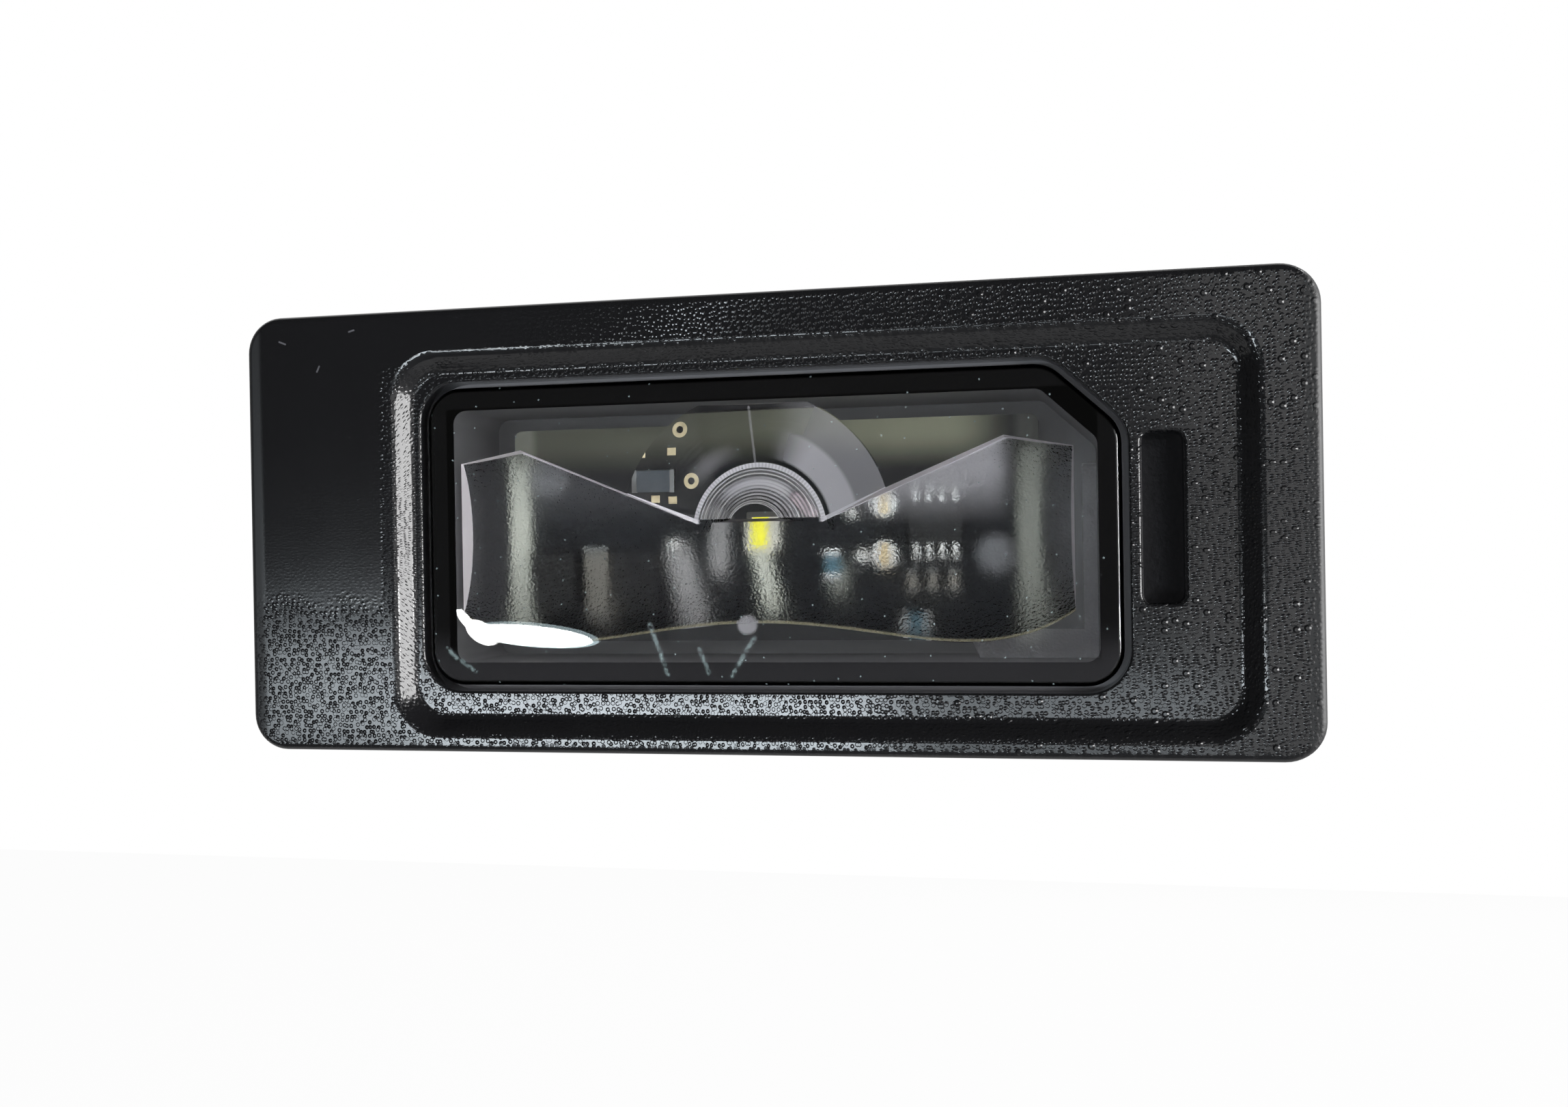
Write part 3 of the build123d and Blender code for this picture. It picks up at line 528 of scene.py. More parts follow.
class LAMP_OT_housing(Operator):
    """Give the housing its grained black plastic"""

    bl_idname = "lamp.housing"
    bl_label = "Housing"

    def execute(self, context):
        look = context.scene.lamp_housing
        material, finish = new_finish("grained_black_plastic")
        point, (x, y, z) = finish.place()
        to_right = finish.rise(x, -10 * MM, 10 * MM) * 2 - 1
        to_top = finish.rise(z, -6 * MM, 6 * MM) * 2 - 1
        front = finish.node("CombineXYZ", None, {"X": x - to_right * y * 0.6, "Y": z - to_top * y * 0.8})
        pebbles = self.pebbles(finish, front, finish.rise(x, 5 * MM, 20 * MM), look)
        relief = self.relief(finish, point, x, y, z, look)
        ends = finish.rise(abs(x), FLANGE_HIGH.x - 1.4 * MM, FLANGE_HIGH.x - 0.8 * MM)
        fine = finish.noise(point, look.grain_cell / 2.5, 3.0)
        grain_end = FLANGE_LOW.y + look.grain_depth
        grained = 1 - finish.rise(y, grain_end, grain_end + 0.1 * MM)
        # Mask of the faces behind the lens, which get the lighter colour as painted light.
        chamber_painted_light = finish.rise(y, PLATE_BACK - 0.1 * MM, PLATE_BACK - 0.01 * MM)
        height = (pebbles * relief + fine * (0.001 * MM)) * (0.02 + grained * 0.98)
        height = height + self.mouth_edges(finish, y, look)
        cloud = finish.noise(point, 9 * MM, 3.0)
        dust = finish.rise(finish.noise(point, 0.5 * MM, 4.0, 0.7), 0.62, 0.80)
        nicks = self.nicks(finish, x, y, z)
        pale = finish.highest(dust * 0.10, nicks)
        plastic = finish.blend(grained, colour(look.pocket), colour(look.plastic))
        plastic = finish.blend(chamber_painted_light, plastic, colour(look.chamber_painted_light))
        tone = finish.blend(pale, plastic, colour(look.dust))
        roughness = look.sheen_roughness + cloud * 0.06 + fine * 0.03 + chamber_painted_light * 0.3
        shader = finish.principled(
            Base_Color=tone,
            Roughness=roughness + ends * look.end_roughness,
            Normal=finish.bump(height, 1.0),
        )
        finish.surface(shader)
        dress("housing", material)
        return {"FINISHED"}

    def relief(self, finish, point, x, y, z, look):
        """How high the grain stands: lower on walls and at the rim, and almost flat at the upper left."""
        normal = finish.node("NewGeometry", output="Normal")
        level = finish.rise(abs(finish.node("SeparateXYZ", None, {0: normal}, "Y")), 0.8, 0.95)
        dish_floor = FLANGE_LOW.y + look.dish_depth
        mouths = finish.rise(y, dish_floor, dish_floor + 0.02 * MM)
        rim = finish.lowest(FLANGE_HIGH.x - abs(x), FLANGE_HIGH.z - abs(z))
        outer = 1 - finish.rise(rim, 1.0 * MM, 1.2 * MM)
        relief = 0.5 + finish.highest(finish.highest(level, mouths), outer) * 0.5
        relief = relief * (0.1 + finish.rise(rim, 0.15 * MM, 0.75 * MM) * 0.9)
        over_dish = finish.rise(z, 12 * MM, 13.5 * MM)
        upper_left = 1 - finish.rise(x, -28.2 * MM, over_dish * (40 * MM) - 27.6 * MM)
        ragged = z + (finish.noise(point, 2.5 * MM, 3.0) - 0.5) * (3 * MM)
        upper_left = upper_left * finish.rise(ragged, -7 * MM, -4.5 * MM)
        return relief * (1 - upper_left * look.upper_left_wear)

    def pebbles(self, finish, front, to_right, look):
        """Round pebbles with flat tops of random width; on the right a few are large and steep. In metres."""
        chance = finish.node("SeparateXYZ", None, {0: finish.cells(front, look.grain_cell, "Color")}, "Y")
        side = finish.highest(0.46 - finish.cells(front, look.grain_cell), 0.0)
        small = finish.lowest(side, 0.41 - chance * 0.32) * look.grain_slope * look.grain_cell
        chance = finish.node("SeparateXYZ", None, {0: finish.cells(front, look.steep_cell, "Color")}, "X")
        inside = finish.highest(0.36 - finish.cells(front, look.steep_cell), 0.0)
        few = finish.rise(chance, 0.86, 0.88) * finish.rise(inside, 0.0, 0.04) * to_right
        large = finish.lowest(inside, 0.20) * look.steep_slope * look.steep_cell
        return small * (1 - few) + large * few

    def mouth_edges(self, finish, y, look):
        """The crown of the bevels at the mouths of the slot and the pocket, as a height in metres."""
        half = look.mouth_bevel / 2
        across = (y - (FLANGE_LOW.y + look.dish_depth + half)) / half
        return finish.highest(1 - across * across, 0.0) * look.mouth_crown

    def nicks(self, finish, x, y, z):
        """Three tiny nicks at the upper left of the flange's front."""
        front = 1 - finish.rise(y, FLANGE_LOW.y + 0.02 * MM, FLANGE_LOW.y + 0.05 * MM)
        total = 0.0
        for line in NICKS:
            near = 1 - finish.rise(capsule(finish, x, z, *line), 0.03 * MM, 0.09 * MM)
            total = finish.highest(total, near)
        return total * front


class LAMP_OT_lens(Operator):
    """Give the lens its clear plastic, grained wings, frosted edges and scuffs"""

    bl_idname = "lamp.lens"
    bl_label = "Lens"

    def execute(self, context):
        look = context.scene.lamp_lens
        material, finish = new_finish("clear_lens_plastic")
        point, (x, y, z) = finish.place()
        out = abs(x - OPTIC.x)
        up = z - OPTIC.z
        radius = finish.math("SQRT", out * out + up * up)
        behind = finish.rise(y, PLATE_BACK + 0.01 * MM, PLATE_BACK + 0.06 * MM)
        slope = (look.wing_shoulder_rise - look.wing_notch_rise) / (look.wing_shoulder - look.ring_inner)
        under_crest = finish.highest(out - look.ring_inner, 0.0) * slope + look.wing_notch_rise - up
        in_wing = behind * finish.rise(under_crest, -0.02 * MM, 0.02 * MM)
        in_ring = behind * (1 - in_wing)
        outside_ring = finish.rise(out, look.ring_inner - 0.3 * MM, look.ring_inner)
        bowl = in_ring * (1 - finish.rise(radius, look.ring_inner - 0.1 * MM, look.ring_inner))
        grooves = finish.math("SINE", radius * (2 * math.pi / look.groove))
        grain = finish.noise(point, look.wing_grain, 2.0)
        patch = self.patch(finish, x, y, z)
        crest = 1 - finish.rise(under_crest, look.crest_width - 0.06 * MM, look.crest_width)
        crest = crest * in_wing * outside_ring
        cut = self.cut_faces(finish) * behind
        marks = (
            (self.wing_painted_haze(finish, x, z, out, grain, look) * in_wing, look.frost),
            (self.ring_painted_haze(finish, x, up, radius, look) * in_ring, look.frost),
            (self.lip(finish, x, y, up, radius, look) * in_ring, look.frost),
            (self.threads(finish, up, radius, grooves) * bowl, look.frost),
            (self.ridge(finish, x, z) * in_ring, look.frost),
            (crest, look.frost),
            (patch * look.patch_haze, look.frost),
            (self.weld(finish, x, y, z), look.weld),
            (self.foot(finish, x, up, grooves) * bowl, look.foot),
            (self.low_line(finish, y, z) * behind, look.low_line),
            (self.spot(finish, x, y, z, look), look.frost),
            (cut * (0.35 + outside_ring * 0.65), look.cut_face),
            (self.scuffs(finish, point, x, y, z, look), look.scuff),
        )
        pale = 0.0
        tone = colour(look.frost)
        for mark, tint in marks:
            pale = finish.highest(pale, mark)
            tone = finish.blend(finish.rise(mark, 0.0, 0.1), tone, colour(tint))
        clear = finish.principled(
            Base_Color=colour(look.clear),
            Transmission_Weight=1.0,
            IOR=1.49,
            Roughness=0.0,
            Normal=finish.bump(grooves * bowl * (0.2 * look.groove) + self.edge(finish, y, look), 1.0),
        )
        grained = finish.node("BsdfRefraction", None, {
            "Color": colour(look.clear),
            "IOR": 1.49,
            "Roughness": look.wing_roughness,
            "Normal": finish.bump(grain, look.wing_grain_height),
        })
        # Painted glow on the left wing's crest and cut faces: emission, though the lens is no lamp.
        on_left = 1 - finish.rise(x, OPTIC.x - 0.5 * MM, OPTIC.x)
        glow = finish.highest(crest, cut * outside_ring) * on_left
        frosted = finish.principled(
            Base_Color=tone,
            Roughness=0.5,
            Emission_Color=finish.blend(glow, colour((0, 0, 0)), colour(look.cut_face)),
            Emission_Strength=look.painted_edge_glow,
        )
        plastic = finish.mix(finish.highest(in_wing, patch), clear, grained)
        finish.surface(finish.mix(pale, plastic, frosted))
        dress("lens", material)
        return {"FINISHED"}

    def edge(self, finish, y, look):
        """The crown of the bevelled front edge, as a height in metres."""
        half = look.edge_depth / 2
        across = (y - (LENS_LOW.y + half)) / half
        return finish.highest(1 - across * across, 0.0) * look.edge_crown

    def cut_faces(self, finish):
        """1 on faces that stand upright to the plate."""
        normal = finish.node("NewGeometry", output="Normal")
        facing_back = abs(finish.node("SeparateXYZ", None, {0: normal}, "Y"))
        return 1 - finish.rise(facing_back, 0.2, 0.3)

    def wing_painted_haze(self, finish, x, z, out, grain, look):
        """Painted haze of scattered light under the wings' upper edge, stronger on the right where the light
        falls.
        """
        side = look.left_painted_haze + finish.rise(x, -2 * MM, 6 * MM) * (look.right_painted_haze - look.left_painted_haze)
        across = finish.rise(out, 5 * MM, 9 * MM) * (1 - finish.rise(out, 17 * MM, 19 * MM))
        return side * across * finish.rise(z, -0.5 * MM, 4.0 * MM) * (0.75 + grain * 0.5)

    def ring_painted_haze(self, finish, x, up, radius, look):
        """Painted haze on the right part of the half ring's slope, where the light falls, in two bands, with
        a painted highlight higher up on its left.
        """
        turn = finish.math("ARCTAN2", up, x - OPTIC.x)
        right = 1 - finish.rise(turn, 0.9, 1.45)
        band = 1 - finish.rise(radius, 7.4 * MM, 7.8 * MM) * 0.5
        milky = right * band * finish.rise(radius, 5.3 * MM, 5.6 * MM)
        painted_highlight = finish.bell(turn, 2.2, 0.5) * finish.bell(radius, 6.2 * MM, 1.0 * MM) * 0.3
        return finish.highest(milky, painted_highlight) * look.ring_painted_haze

    def lip(self, finish, x, y, up, radius, look):
        """The frosted lip of the half ring, with fine radial ticks."""
        middle = look.ring_inner + look.ring_lip / 2
        on_lip = 1 - finish.rise(abs(radius - middle), look.ring_lip / 2, look.ring_lip / 2 + 0.05 * MM)
        turn = finish.math("ARCTAN2", up, x - OPTIC.x)
        ticks = finish.math("SINE", turn * 120.0) * 0.12 + 0.88
        return on_lip * ticks * finish.rise(y, 2.3 * MM, 2.45 * MM)

    def threads(self, finish, up, radius, grooves):
        """Fine pale arcs inside the half ring, with a painted reflection that makes them strongest at its
        top.
        """
        upright = finish.rise(up / radius, 0.55, 0.98)
        painted_top_reflection = upright * finish.bell(radius, 3.6 * MM, 0.6 * MM)
        return finish.rise(radius, 2.4 * MM, 3.0 * MM) * (0.13 + grooves * 0.05 + painted_top_reflection * 0.6)

    def foot(self, finish, x, up, grooves):
        """A striped pale place at the right foot of the half ring."""
        near = capsule(finish, x - OPTIC.x, up, *RING_FOOT)
        return (1 - finish.rise(near, 0.2 * MM, 0.6 * MM)) * (0.4 + grooves * 0.2)

    def weld(self, finish, x, y, z):
        """A faint painted sheen on the front over the welded border, stronger along its bottom."""
        left = finish.rise(WINDOW_LEFT - x, -WINDOW_SOFT, WINDOW_SOFT)
        right = finish.rise(x - WINDOW_RIGHT, -WINDOW_SOFT, WINDOW_SOFT)
        above = finish.rise(z - WINDOW_TOP, -WINDOW_SOFT, WINDOW_SOFT)
        below = finish.rise(-z, 8.5 * MM, 10.4 * MM)
        front = 1 - finish.rise(y, LENS_LOW.y + 0.02 * MM, LENS_LOW.y + 0.06 * MM)
        border = finish.highest(finish.highest(left, right), finish.highest(below, above))
        return border * front * (0.004 + finish.rise(-z, 7 * MM, 10.3 * MM) * 0.018)

    def ridge(self, finish, x, z):
        """A thin upright line over the half ring."""
        return (1 - finish.rise(capsule(finish, x, z, *RIDGE), 0.04 * MM, 0.13 * MM)) * 0.25

    def low_line(self, finish, y, z):
        """The thin line where the wings' lower edge meets the plate, painted light that stands for the
        board's pale border seen through that edge.
        """
        thin = 1 - finish.rise(y, PLATE_BACK + 0.10 * MM, PLATE_BACK + 0.20 * MM)
        return thin * (1 - finish.rise(z, -6.0 * MM, -5.5 * MM)) * 0.55

    def spot(self, finish, x, y, z, look):
        """The round mark that the moulding left at the wings' lower edge."""
        near = capsule(finish, x, z, *GATE_MARK)
        back = finish.rise(y, PLATE_BACK - 0.05 * MM, PLATE_BACK - 0.01 * MM)
        return (1 - finish.rise(near, look.spot_radius * 0.6, look.spot_radius)) * back * 0.5

    def patch(self, finish, x, y, z):
        """The grained strip on the plate's back, low at the right and up its right side."""
        low = finish.rise(x + (z - LENS_LOW.z) * 0.4, 16.9 * MM, 17.1 * MM)
        low = low * (1 - finish.rise(z, -7.75 * MM, -7.65 * MM))
        upright = finish.rise(x, 23.4 * MM, 23.5 * MM) * (1 - finish.rise(z, 3.4 * MM, 4.0 * MM))
        inside = (1 - finish.rise(x, 24.4 * MM, 24.5 * MM)) * finish.rise(z, -9.8 * MM, -9.7 * MM)
        back = finish.rise(y, PLATE_BACK - 0.05 * MM, PLATE_BACK - 0.01 * MM)
        back = back * (1 - finish.rise(y, PLATE_BACK + 0.01 * MM, PLATE_BACK + 0.05 * MM))
        return finish.highest(low, upright) * inside * back

    def scuffs(self, finish, point, x, y, z, look):
        """Pale streaks low on the lens front, broken by noise."""
        front = 1 - finish.rise(y, LENS_LOW.y + 0.3 * MM, LENS_LOW.y + 0.4 * MM)
        broken = finish.rise(finish.noise(point, 0.35 * MM, 3.0), 0.30, 0.65)
        total = 0.0
        for line in SCUFFS:
            near = 1 - finish.rise(capsule(finish, x, z, *line), 0.0, look.scuff_width)
            total = finish.highest(total, near)
        flat = finish.node("CombineXYZ", None, {"X": x, "Y": z})
        few = finish.node("SeparateXYZ", None, {0: finish.cells(flat, 1.7 * MM, "Color")}, "X")
        specks = (1 - finish.rise(finish.cells(flat, 1.7 * MM), 0.02, 0.05)) * finish.rise(few, 0.6, 0.65)
        return finish.highest(total * broken, specks) * front * 0.4


class LAMP_OT_board(Operator):
    """Give the circuit board its dark mask and bare border, and add its plated pads"""

    bl_idname = "lamp.board"
    bl_label = "Circuit board"

    def execute(self, context):
        look = context.scene.lamp_board
        material, finish = new_finish("dark_solder_mask")
        point, (x, y, z) = finish.place()
        half_length = (BOARD_HIGH.x - BOARD_LOW.x) / 2 - look.border
        half_height = (BOARD_HIGH.z - BOARD_LOW.z) / 2 - look.border
        soft = 0.45 * MM
        left_end = finish.rise(BOARD_MIDDLE.x - x - half_length, -soft, soft)
        right_end = finish.rise(x - BOARD_MIDDLE.x - half_length, -soft, soft) * 0.5
        # Painted shade: the bare border at the ends is dimmer towards the top.
        painted_shade_at_top = 1 - finish.rise(z - OPTIC.z, 4.6 * MM, 5.8 * MM) * 0.75
        ends = finish.highest(left_end, right_end) * painted_shade_at_top
        # Painted shade on the top strip of the bare border: dim overall, darker towards the left, and faded
        # out at the right.
        top = finish.rise(z - BOARD_MIDDLE.z - half_height, -2.4 * MM, 0.6 * MM)
        top = top * (0.2 + finish.rise(x, -8 * MM, 12 * MM) * 0.4) * (1 - finish.rise(x, 14 * MM, 19 * MM))
        cloth = finish.noise(point, 0.6 * MM, 3.0)
        tone = finish.blend(cloth, colour(look.mask), colour([c * 1.6 for c in look.mask]))
        tone = finish.blend(top, tone, colour(look.shaded_top_border))
        tone = finish.blend(self.track(finish, x, z, WIDE_TRACK, 1.6) * 0.8, tone, colour(look.track))
        tone = finish.blend(self.track(finish, x, z, NARROW_TRACK, 1.15) * 0.8, tone, colour(look.track))
        tone = finish.blend(self.track(finish, x, z, RIGHT_TRACK, 1.1) * 0.3, tone, colour(look.laminate))
        tone = finish.blend(self.track(finish, x, z, LED_TRACK, 1.0), tone, colour(look.laminate))
        border = finish.blend(cloth, colour(look.laminate), colour([c * 0.8 for c in look.laminate]))
        shader = finish.principled(
            Base_Color=finish.blend(ends, tone, border),
            Roughness=0.45,
            Specular_IOR_Level=0.15,
        )
        finish.surface(shader)
        dress("circuit_board", material)
        gold = metal_finish("gold_plating", look.gold, 0.3)
        tin = metal_finish("bright_tin", look.tin, 0.3)
        add_piece("via_rings", self.rings(look), gold)
        add_piece("gold_pads", self.pads(GOLD_PADS, look.gold_pad_size, look), gold)
        add_piece("solder_dots", self.dots(look), tin)
        return {"FINISHED"}

    def track(self, finish, x, z, line, radius):
        """A wide track with soft edges between two points given from the light source."""
        start, end = line
        near = capsule(finish, x - OPTIC.x, z - OPTIC.z, start, end)
        return 1 - finish.rise(near, radius * 0.3 * MM, radius * MM)

    def on_board(self, offset):
        """A point on the board's front, given from the light source."""
        return Vector((OPTIC.x + offset[0] * MM, BOARD_LOW.y, OPTIC.z + offset[1] * MM))

    def rings(self, look):
        """A flat plated ring round each via."""
        shape = bmesh.new()
        for offset in VIAS:
            middle = self.on_board(offset)
            inner = middle + Vector((look.via_radius, 0, 0))
            outer = inner + Vector((look.ring_width, 0, 0))
            rise = Vector((0, -look.pad_height, 0))
            corners = [shape.verts.new(place) for place in (inner, outer, outer + rise, inner + rise)]
            sides = [shape.edges.new((corners[i - 1], corners[i])) for i in range(4)]
            bmesh.ops.spin(shape, geom=corners + sides, cent=middle, axis=(0, 1, 0), angle=2 * math.pi,
                           steps=32, use_merge=True)
        return shape

    def pads(self, offsets, size, look):
        """Flat pads with soft edges."""
        shape = bmesh.new()
        for offset in offsets:
            scale = Matrix.Diagonal((size[0], 2 * look.pad_height, size[1], 1))
            bmesh.ops.create_cube(shape, size=1.0, matrix=Matrix.Translation(self.on_board(offset)) @ scale)
        bmesh.ops.bevel(shape, geom=shape.edges[:], offset=look.pad_height * 0.6, affect="EDGES", segments=2,
                        profile=0.5, material=-1)
        return shape

    def dots(self, look):
        """Low domes of solder."""
        shape = bmesh.new()
        for offset in SOLDER_DOTS:
            scale = Matrix.Diagonal((1, look.dot_rise, 1, 1))
            turn = Matrix.Rotation(math.pi / 2, 4, "X")
            place = Matrix.Translation(self.on_board(offset)) @ scale @ turn
            bmesh.ops.create_uvsphere(
                shape, u_segments=32, v_segments=16, radius=look.dot_radius, matrix=place)
        cut = bmesh.ops.bisect_plane(shape, geom=shape.verts[:] + shape.edges[:] + shape.faces[:],
                                     plane_co=(0, BOARD_LOW.y, 0), plane_no=(0, 1, 0), clear_outer=True)
        rims = [part for part in cut["geom_cut"] if isinstance(part, bmesh.types.BMEdge)]
        bmesh.ops.edgeloop_fill(shape, edges=rims)
        return shape


class LAMP_OT_board_parts(Operator):
    """Give the light source and the soldered parts their finishes"""

    bl_idname = "lamp.board_parts"
    bl_label = "Board parts"

    def execute(self, context):
        look = context.scene.lamp_board
        self.package(look)
        self.phosphor(look)
        for node in ("reverse_diode", "surge_diode"):
            self.ended(node, look.moulding, look.tab_reach, look.moulding)
        self.ended("driver_ic", look.moulding, look.lead_reach, look.tin)
        for node in ("resistor_1", "resistor_2", "resistor_3", "power_resistor"):
            self.ended(node, look.resistor, look.cap_length, look.dull_tin)
        self.ended("capacitor_1", look.large_capacitor, look.cap_length, look.dull_tin)
        for node in ("capacitor_2", "capacitor_3"):
            self.ended(node, look.capacitor, look.cap_length, look.tin)
        solder = metal_finish("solder_cone", look.tin, 0.25)
        brass = metal_finish("tinned_brass", look.brass, 0.3)
        for number in (1, 2):
            dress(f"solder_joint_{number}", solder)
            dress(f"terminal_pin_{number}", brass)
        dress("retaining_spring", metal_finish("spring_steel", look.steel, 0.4))
        return {"FINISHED"}

    def package(self, look):
        """White body of the light source, with a painted shadow along its upper edge, and painted dark at its
        sides.
        """
        material, finish = new_finish("white_package")
        _, (x, y, z) = finish.place()
        # The body is painted dark outside this mask: a painted shadow at its upper edge, and dark sides.
        white = 1 - finish.rise(abs(x - OPTIC.x + 0.4 * MM), 0.9 * MM, 1.2 * MM)
        white = white * (1 - finish.rise(z - OPTIC.z, 0.7 * MM, 0.95 * MM))
        shade = finish.blend(white, colour([c * 0.12 for c in look.package]), colour(look.package))
        finish.surface(finish.principled(Base_Color=shade, Roughness=0.35))
        dress("led_package", material)

    def phosphor(self, look):
        """Yellow phosphor under clear resin, with a weak painted glow that stands in for its brightness in
        daylight.
        """
        material, finish = new_finish("yellow_phosphor")
        _, (x, y, z) = finish.place()
        core = 1 - finish.rise(abs(x - OPTIC.x + 0.4 * MM), 0.5 * MM, 0.75 * MM)
        shade = finish.blend(core, colour(look.package), colour(look.phosphor))
        glow = finish.blend(core, colour((0, 0, 0)), colour(look.phosphor))
        finish.surface(finish.principled(
            Base_Color=shade, Roughness=0.3, Emission_Color=glow, Emission_Strength=look.phosphor_painted_glow))
        dress("led_phosphor", material)

    def ended(self, node, tone, reach, tin):
        """A body with tinned ends on its longer direction."""
        low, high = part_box(node)
        middle = (low + high) / 2
        half = (high - low) / 2
        material, finish = new_finish(node + "_finish")
        point, (x, y, z) = finish.place()
        if half.x > half.z and node != "driver_ic":
            out = abs(x - middle.x) - (half.x - reach)
        else:
            out = abs(z - middle.z) - (half.z - reach)
        metal = finish.rise(out, -0.01 * MM, 0.01 * MM)
        cloud = finish.noise(point, 0.4 * MM, 3.0)
        shade = finish.blend(cloud, colour(tone), colour([c * 0.8 for c in tone]))
        finish.surface(finish.principled(
            Base_Color=finish.blend(metal, shade, colour(tin)),
            Metallic=metal,
            Roughness=0.42 - metal * 0.12,
            Specular_IOR_Level=0.25,
        ))
        dress(node, material)


class LAMP_OT_stage(Operator):
    """Add the floor, the lights, the world and the camera"""

    bl_idname = "lamp.stage"
    bl_label = "Stage"

    def execute(self, context):
        look = context.scene.lamp_stage
        self.floor(look)
        self.world(context.scene, look)
        inwards = Vector((0, 1, 0))
        leftwards = Vector((-1, 0, 0))
        pane_facing = Vector((-0.76, 0.65, 0))
        top_facing = Vector((-0.63, -0.08, -0.77))
        self.light("right_window", Vector((0.45, -0.163, 0.02)), leftwards, (0.303, 0.26), 12.0)
        self.light("right_wall", Vector((0.52, -0.20, 0.02)), leftwards, (0.90, 0.50), 1.5)
        self.light("right_pane", Vector((0.41, -0.32, 0.012)), pane_facing, (0.06, 0.08), 16.0)
        self.light("right_pane_low", Vector((0.41, -0.32, -0.034)), pane_facing, (0.06, 0.015), 90.0)
        self.light("top_right_softbox", Vector((0.30, 0.04, 0.37)), top_facing, (0.1, 0.1), 12.0)
        self.light("low_left_softbox", Vector((-0.165, -0.5, -0.077)), inwards, (0.21, 0.034), 25.0, look.sky)
        self.light("low_right_softbox", Vector((0.01, -0.5, -0.0725)), inwards, (0.14, 0.024), 7.0, look.sky)
        self.light("far_left_softbox", Vector((-0.311, -0.5, -0.0644)), inwards, (0.082, 0.056), 10.0,
                   look.sky)
        self.light("front_right_softbox", Vector((0.23, -0.5, 0.02)), inwards, (0.34, 0.24), 1.2)
        self.light("back_softbox", Vector((0.15, 0.6, 0.1)), Vector((0, -1, 0)), (0.5, 0.4), 1.5)
        for number, (place, size, tilt) in enumerate(TUBES):
            self.tube(f"low_left_tube_{number}", Vector(place), size, math.radians(tilt), 26.0)
        place, size, tilt = TUBES[0]
        glow_place = Vector(place) - inwards * 0.005
        glow_size = (size[0] * 1.04, size[1] * 1.2)
        self.tube("low_left_glow", glow_place, glow_size, math.radians(tilt), 5.0, look.glow)
        self.camera(context.scene, look)
        context.scene.view_settings.view_transform = "Standard"
        return {"FINISHED"}

    def floor(self, look):
        """A pale floor that the camera sees white, and that is dim in mirrors except under the lamp."""
        mesh = bpy.data.meshes.new("floor")
        shape = bmesh.new()
        place = Matrix.Translation((0, 0, FLANGE_LOW.z - look.floor_drop))
        bmesh.ops.create_grid(shape, x_segments=1, y_segments=1, size=look.floor_reach, matrix=place)
        shape.to_mesh(mesh)
        shape.free()
        floor = bpy.data.objects.new("floor", mesh)
        bpy.context.collection.objects.link(floor)
        material, finish = new_finish("pale_floor")
        pale = finish.node("BsdfDiffuse", None, {"Color": colour((0.8, 0.8, 0.8))})
        dim = finish.node("BsdfDiffuse", None, {"Color": colour((0.08, 0.08, 0.08))})
        pale = finish.mix(self.ray(finish, "Glossy") * 0.8, pale, dim)
        glow = finish.node("Emission", None, {"Color": colour((1, 1, 1)), "Strength": 1.0})
        _, (x, y, z) = finish.place()
        under_lamp = finish.rise(y, -0.09, -0.05)
        seen = finish.highest(self.ray(finish, "Camera") * 0.97, self.mirrored(finish) * under_lamp * 0.55)
        finish.surface(finish.mix(seen, pale, glow))
        mesh.materials.append(material)

    def ray(self, finish, kind):
        """1 for rays of this kind."""
        return finish.node("LightPath", output=f"Is {kind} Ray")

    def mirrored(self, finish):
        """1 for rays that come from a mirror or from clear plastic."""
        return finish.highest(self.ray(finish, "Glossy"), self.ray(finish, "Transmission"))

    def world(self, scene, look):
        """A white backdrop behind the lamp, and weak even light from elsewhere."""
        scene.world = bpy.data.worlds.new("studio")
        finish = Finish(scene.world)
        direction = finish.node("TexCoord", output="Generated")
        backdrop = finish.rise(finish.node("SeparateXYZ", None, {0: direction}, "Y"), -0.05, 0.15)
        seen = finish.highest(self.ray(finish, "Camera"), self.mirrored(finish) * backdrop)
        seen = finish.highest(seen, self.ray(finish, "Transmission") * look.lens_fill)
        strength = look.fill + seen * (1 - look.fill)
        glow = finish.node("Background", None, {"Color": colour((1, 1, 1)), "Strength": strength})
        finish.node("OutputWorld", None, {"Surface": glow})

    def tube(self, name, place, size, tilt, radiance, tint=(1, 1, 1)):
        """A narrow light in front, tilted down to the right."""
        tube = self.light(name, place, Vector((0, 1, 0)), size, radiance, tint)
        tube.data.shape = "ELLIPSE"
        tube.rotation_quaternion = Quaternion((0, 1, 0), tilt) @ tube.rotation_quaternion

    def light(self, name, place, facing, size, radiance, tint=(1, 1, 1)):
        """A rectangular softbox of this radiance that faces one way."""
        data = bpy.data.lights.new(name, "AREA")
        data.shape = "RECTANGLE"
        data.size, data.size_y = size
        data.energy = radiance * math.pi * size[0] * size[1]
        data.color = tint
        lamp = bpy.data.objects.new(name, data)
        lamp.location = place
        lamp.rotation_mode = "QUATERNION"
        lamp.rotation_quaternion = facing.to_track_quat("-Z", "Y")
        lamp.visible_camera = False
        bpy.context.collection.objects.link(lamp)
        return lamp

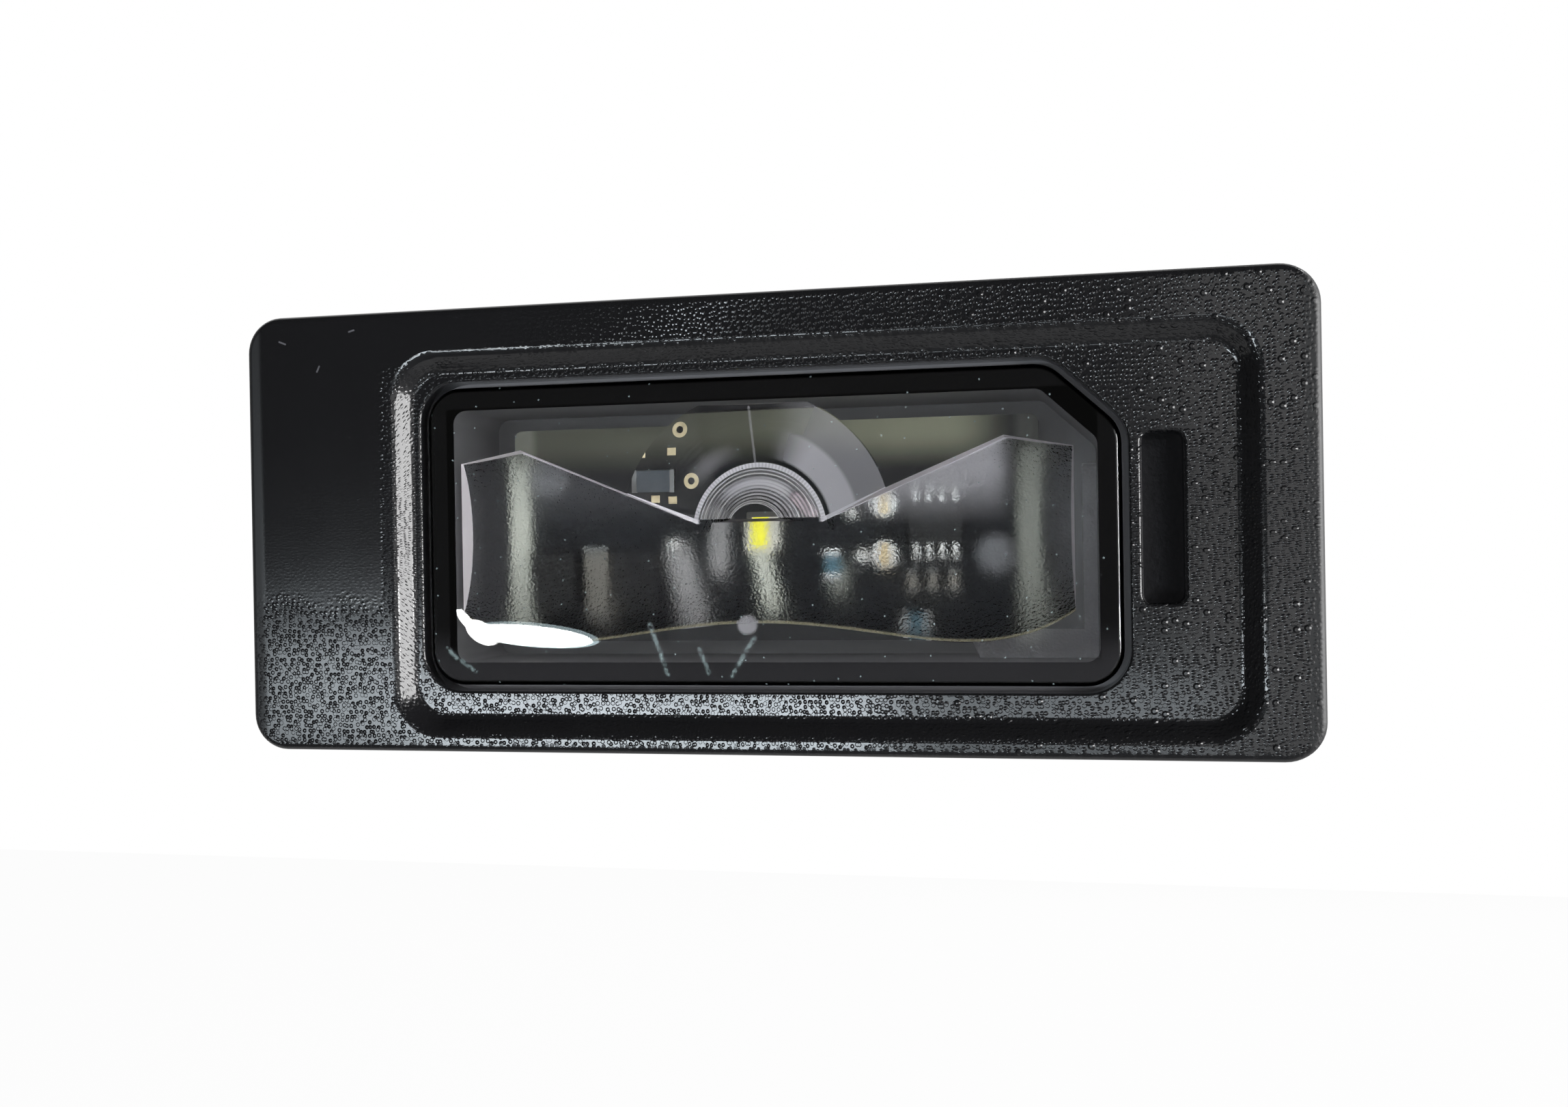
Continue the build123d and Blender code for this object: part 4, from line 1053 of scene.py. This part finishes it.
    def camera(self, scene, look):
        """A camera at the photograph's viewing angle."""
        data = bpy.data.cameras.new("camera")
        data.sensor_width = 36.0
        data.lens = data.sensor_width * look.focal_pixels / IMAGE_WIDTH
        data.clip_start, data.clip_end = 0.005, 20.0
        camera = bpy.data.objects.new("camera", data)
        scene.collection.objects.link(camera)
        flat = math.cos(look.elevation)
        back = Vector((math.sin(look.azimuth) * flat, -math.cos(look.azimuth) * flat,
                       math.sin(look.elevation)))
        right = Vector((0, 0, 1)).cross(back).normalized()
        up = back.cross(right)
        turn = Matrix((right, up, back)).transposed().to_4x4()
        roll = Matrix.Rotation(look.roll, 4, "Z")
        camera.matrix_world = Matrix.Translation(look.camera_place) @ turn @ roll
        scene.camera = camera


class LAMP_PT_panel(Panel):
    """Lists the lamp's sizes and colours, and the steps that dress it."""

    bl_idname = "LAMP_PT_panel"
    bl_label = "Number plate lamp"
    bl_space_type = "VIEW_3D"
    bl_region_type = "UI"
    bl_category = "Lamp"

    def draw(self, context):
        for group in GROUPS:
            look = getattr(context.scene, group)
            for name in look.bl_rna.properties.keys():
                if name not in ("rna_type", "name"):
                    self.layout.prop(look, name)
        for operator in STEPS:
            self.layout.operator(operator.bl_idname)


GROUPS = {
    "lamp_housing": LampHousingLook,
    "lamp_lens": LampLensLook,
    "lamp_board": LampBoardLook,
    "lamp_stage": LampStage,
}
STEPS = (LAMP_OT_housing, LAMP_OT_lens, LAMP_OT_board, LAMP_OT_board_parts, LAMP_OT_stage)


def register():
    for made in (*GROUPS.values(), *STEPS, LAMP_PT_panel):
        bpy.utils.register_class(made)
    for name, group in GROUPS.items():
        setattr(bpy.types.Scene, name, PointerProperty(type=group))


def unregister():
    for name in GROUPS:
        delattr(bpy.types.Scene, name)
    for made in reversed((*GROUPS.values(), *STEPS, LAMP_PT_panel)):
        bpy.utils.unregister_class(made)


def main():
    """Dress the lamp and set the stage."""
    register()
    bpy.ops.lamp.housing()
    bpy.ops.lamp.lens()
    bpy.ops.lamp.board()
    bpy.ops.lamp.board_parts()
    bpy.ops.lamp.stage()


if __name__ == "__main__":
    main()
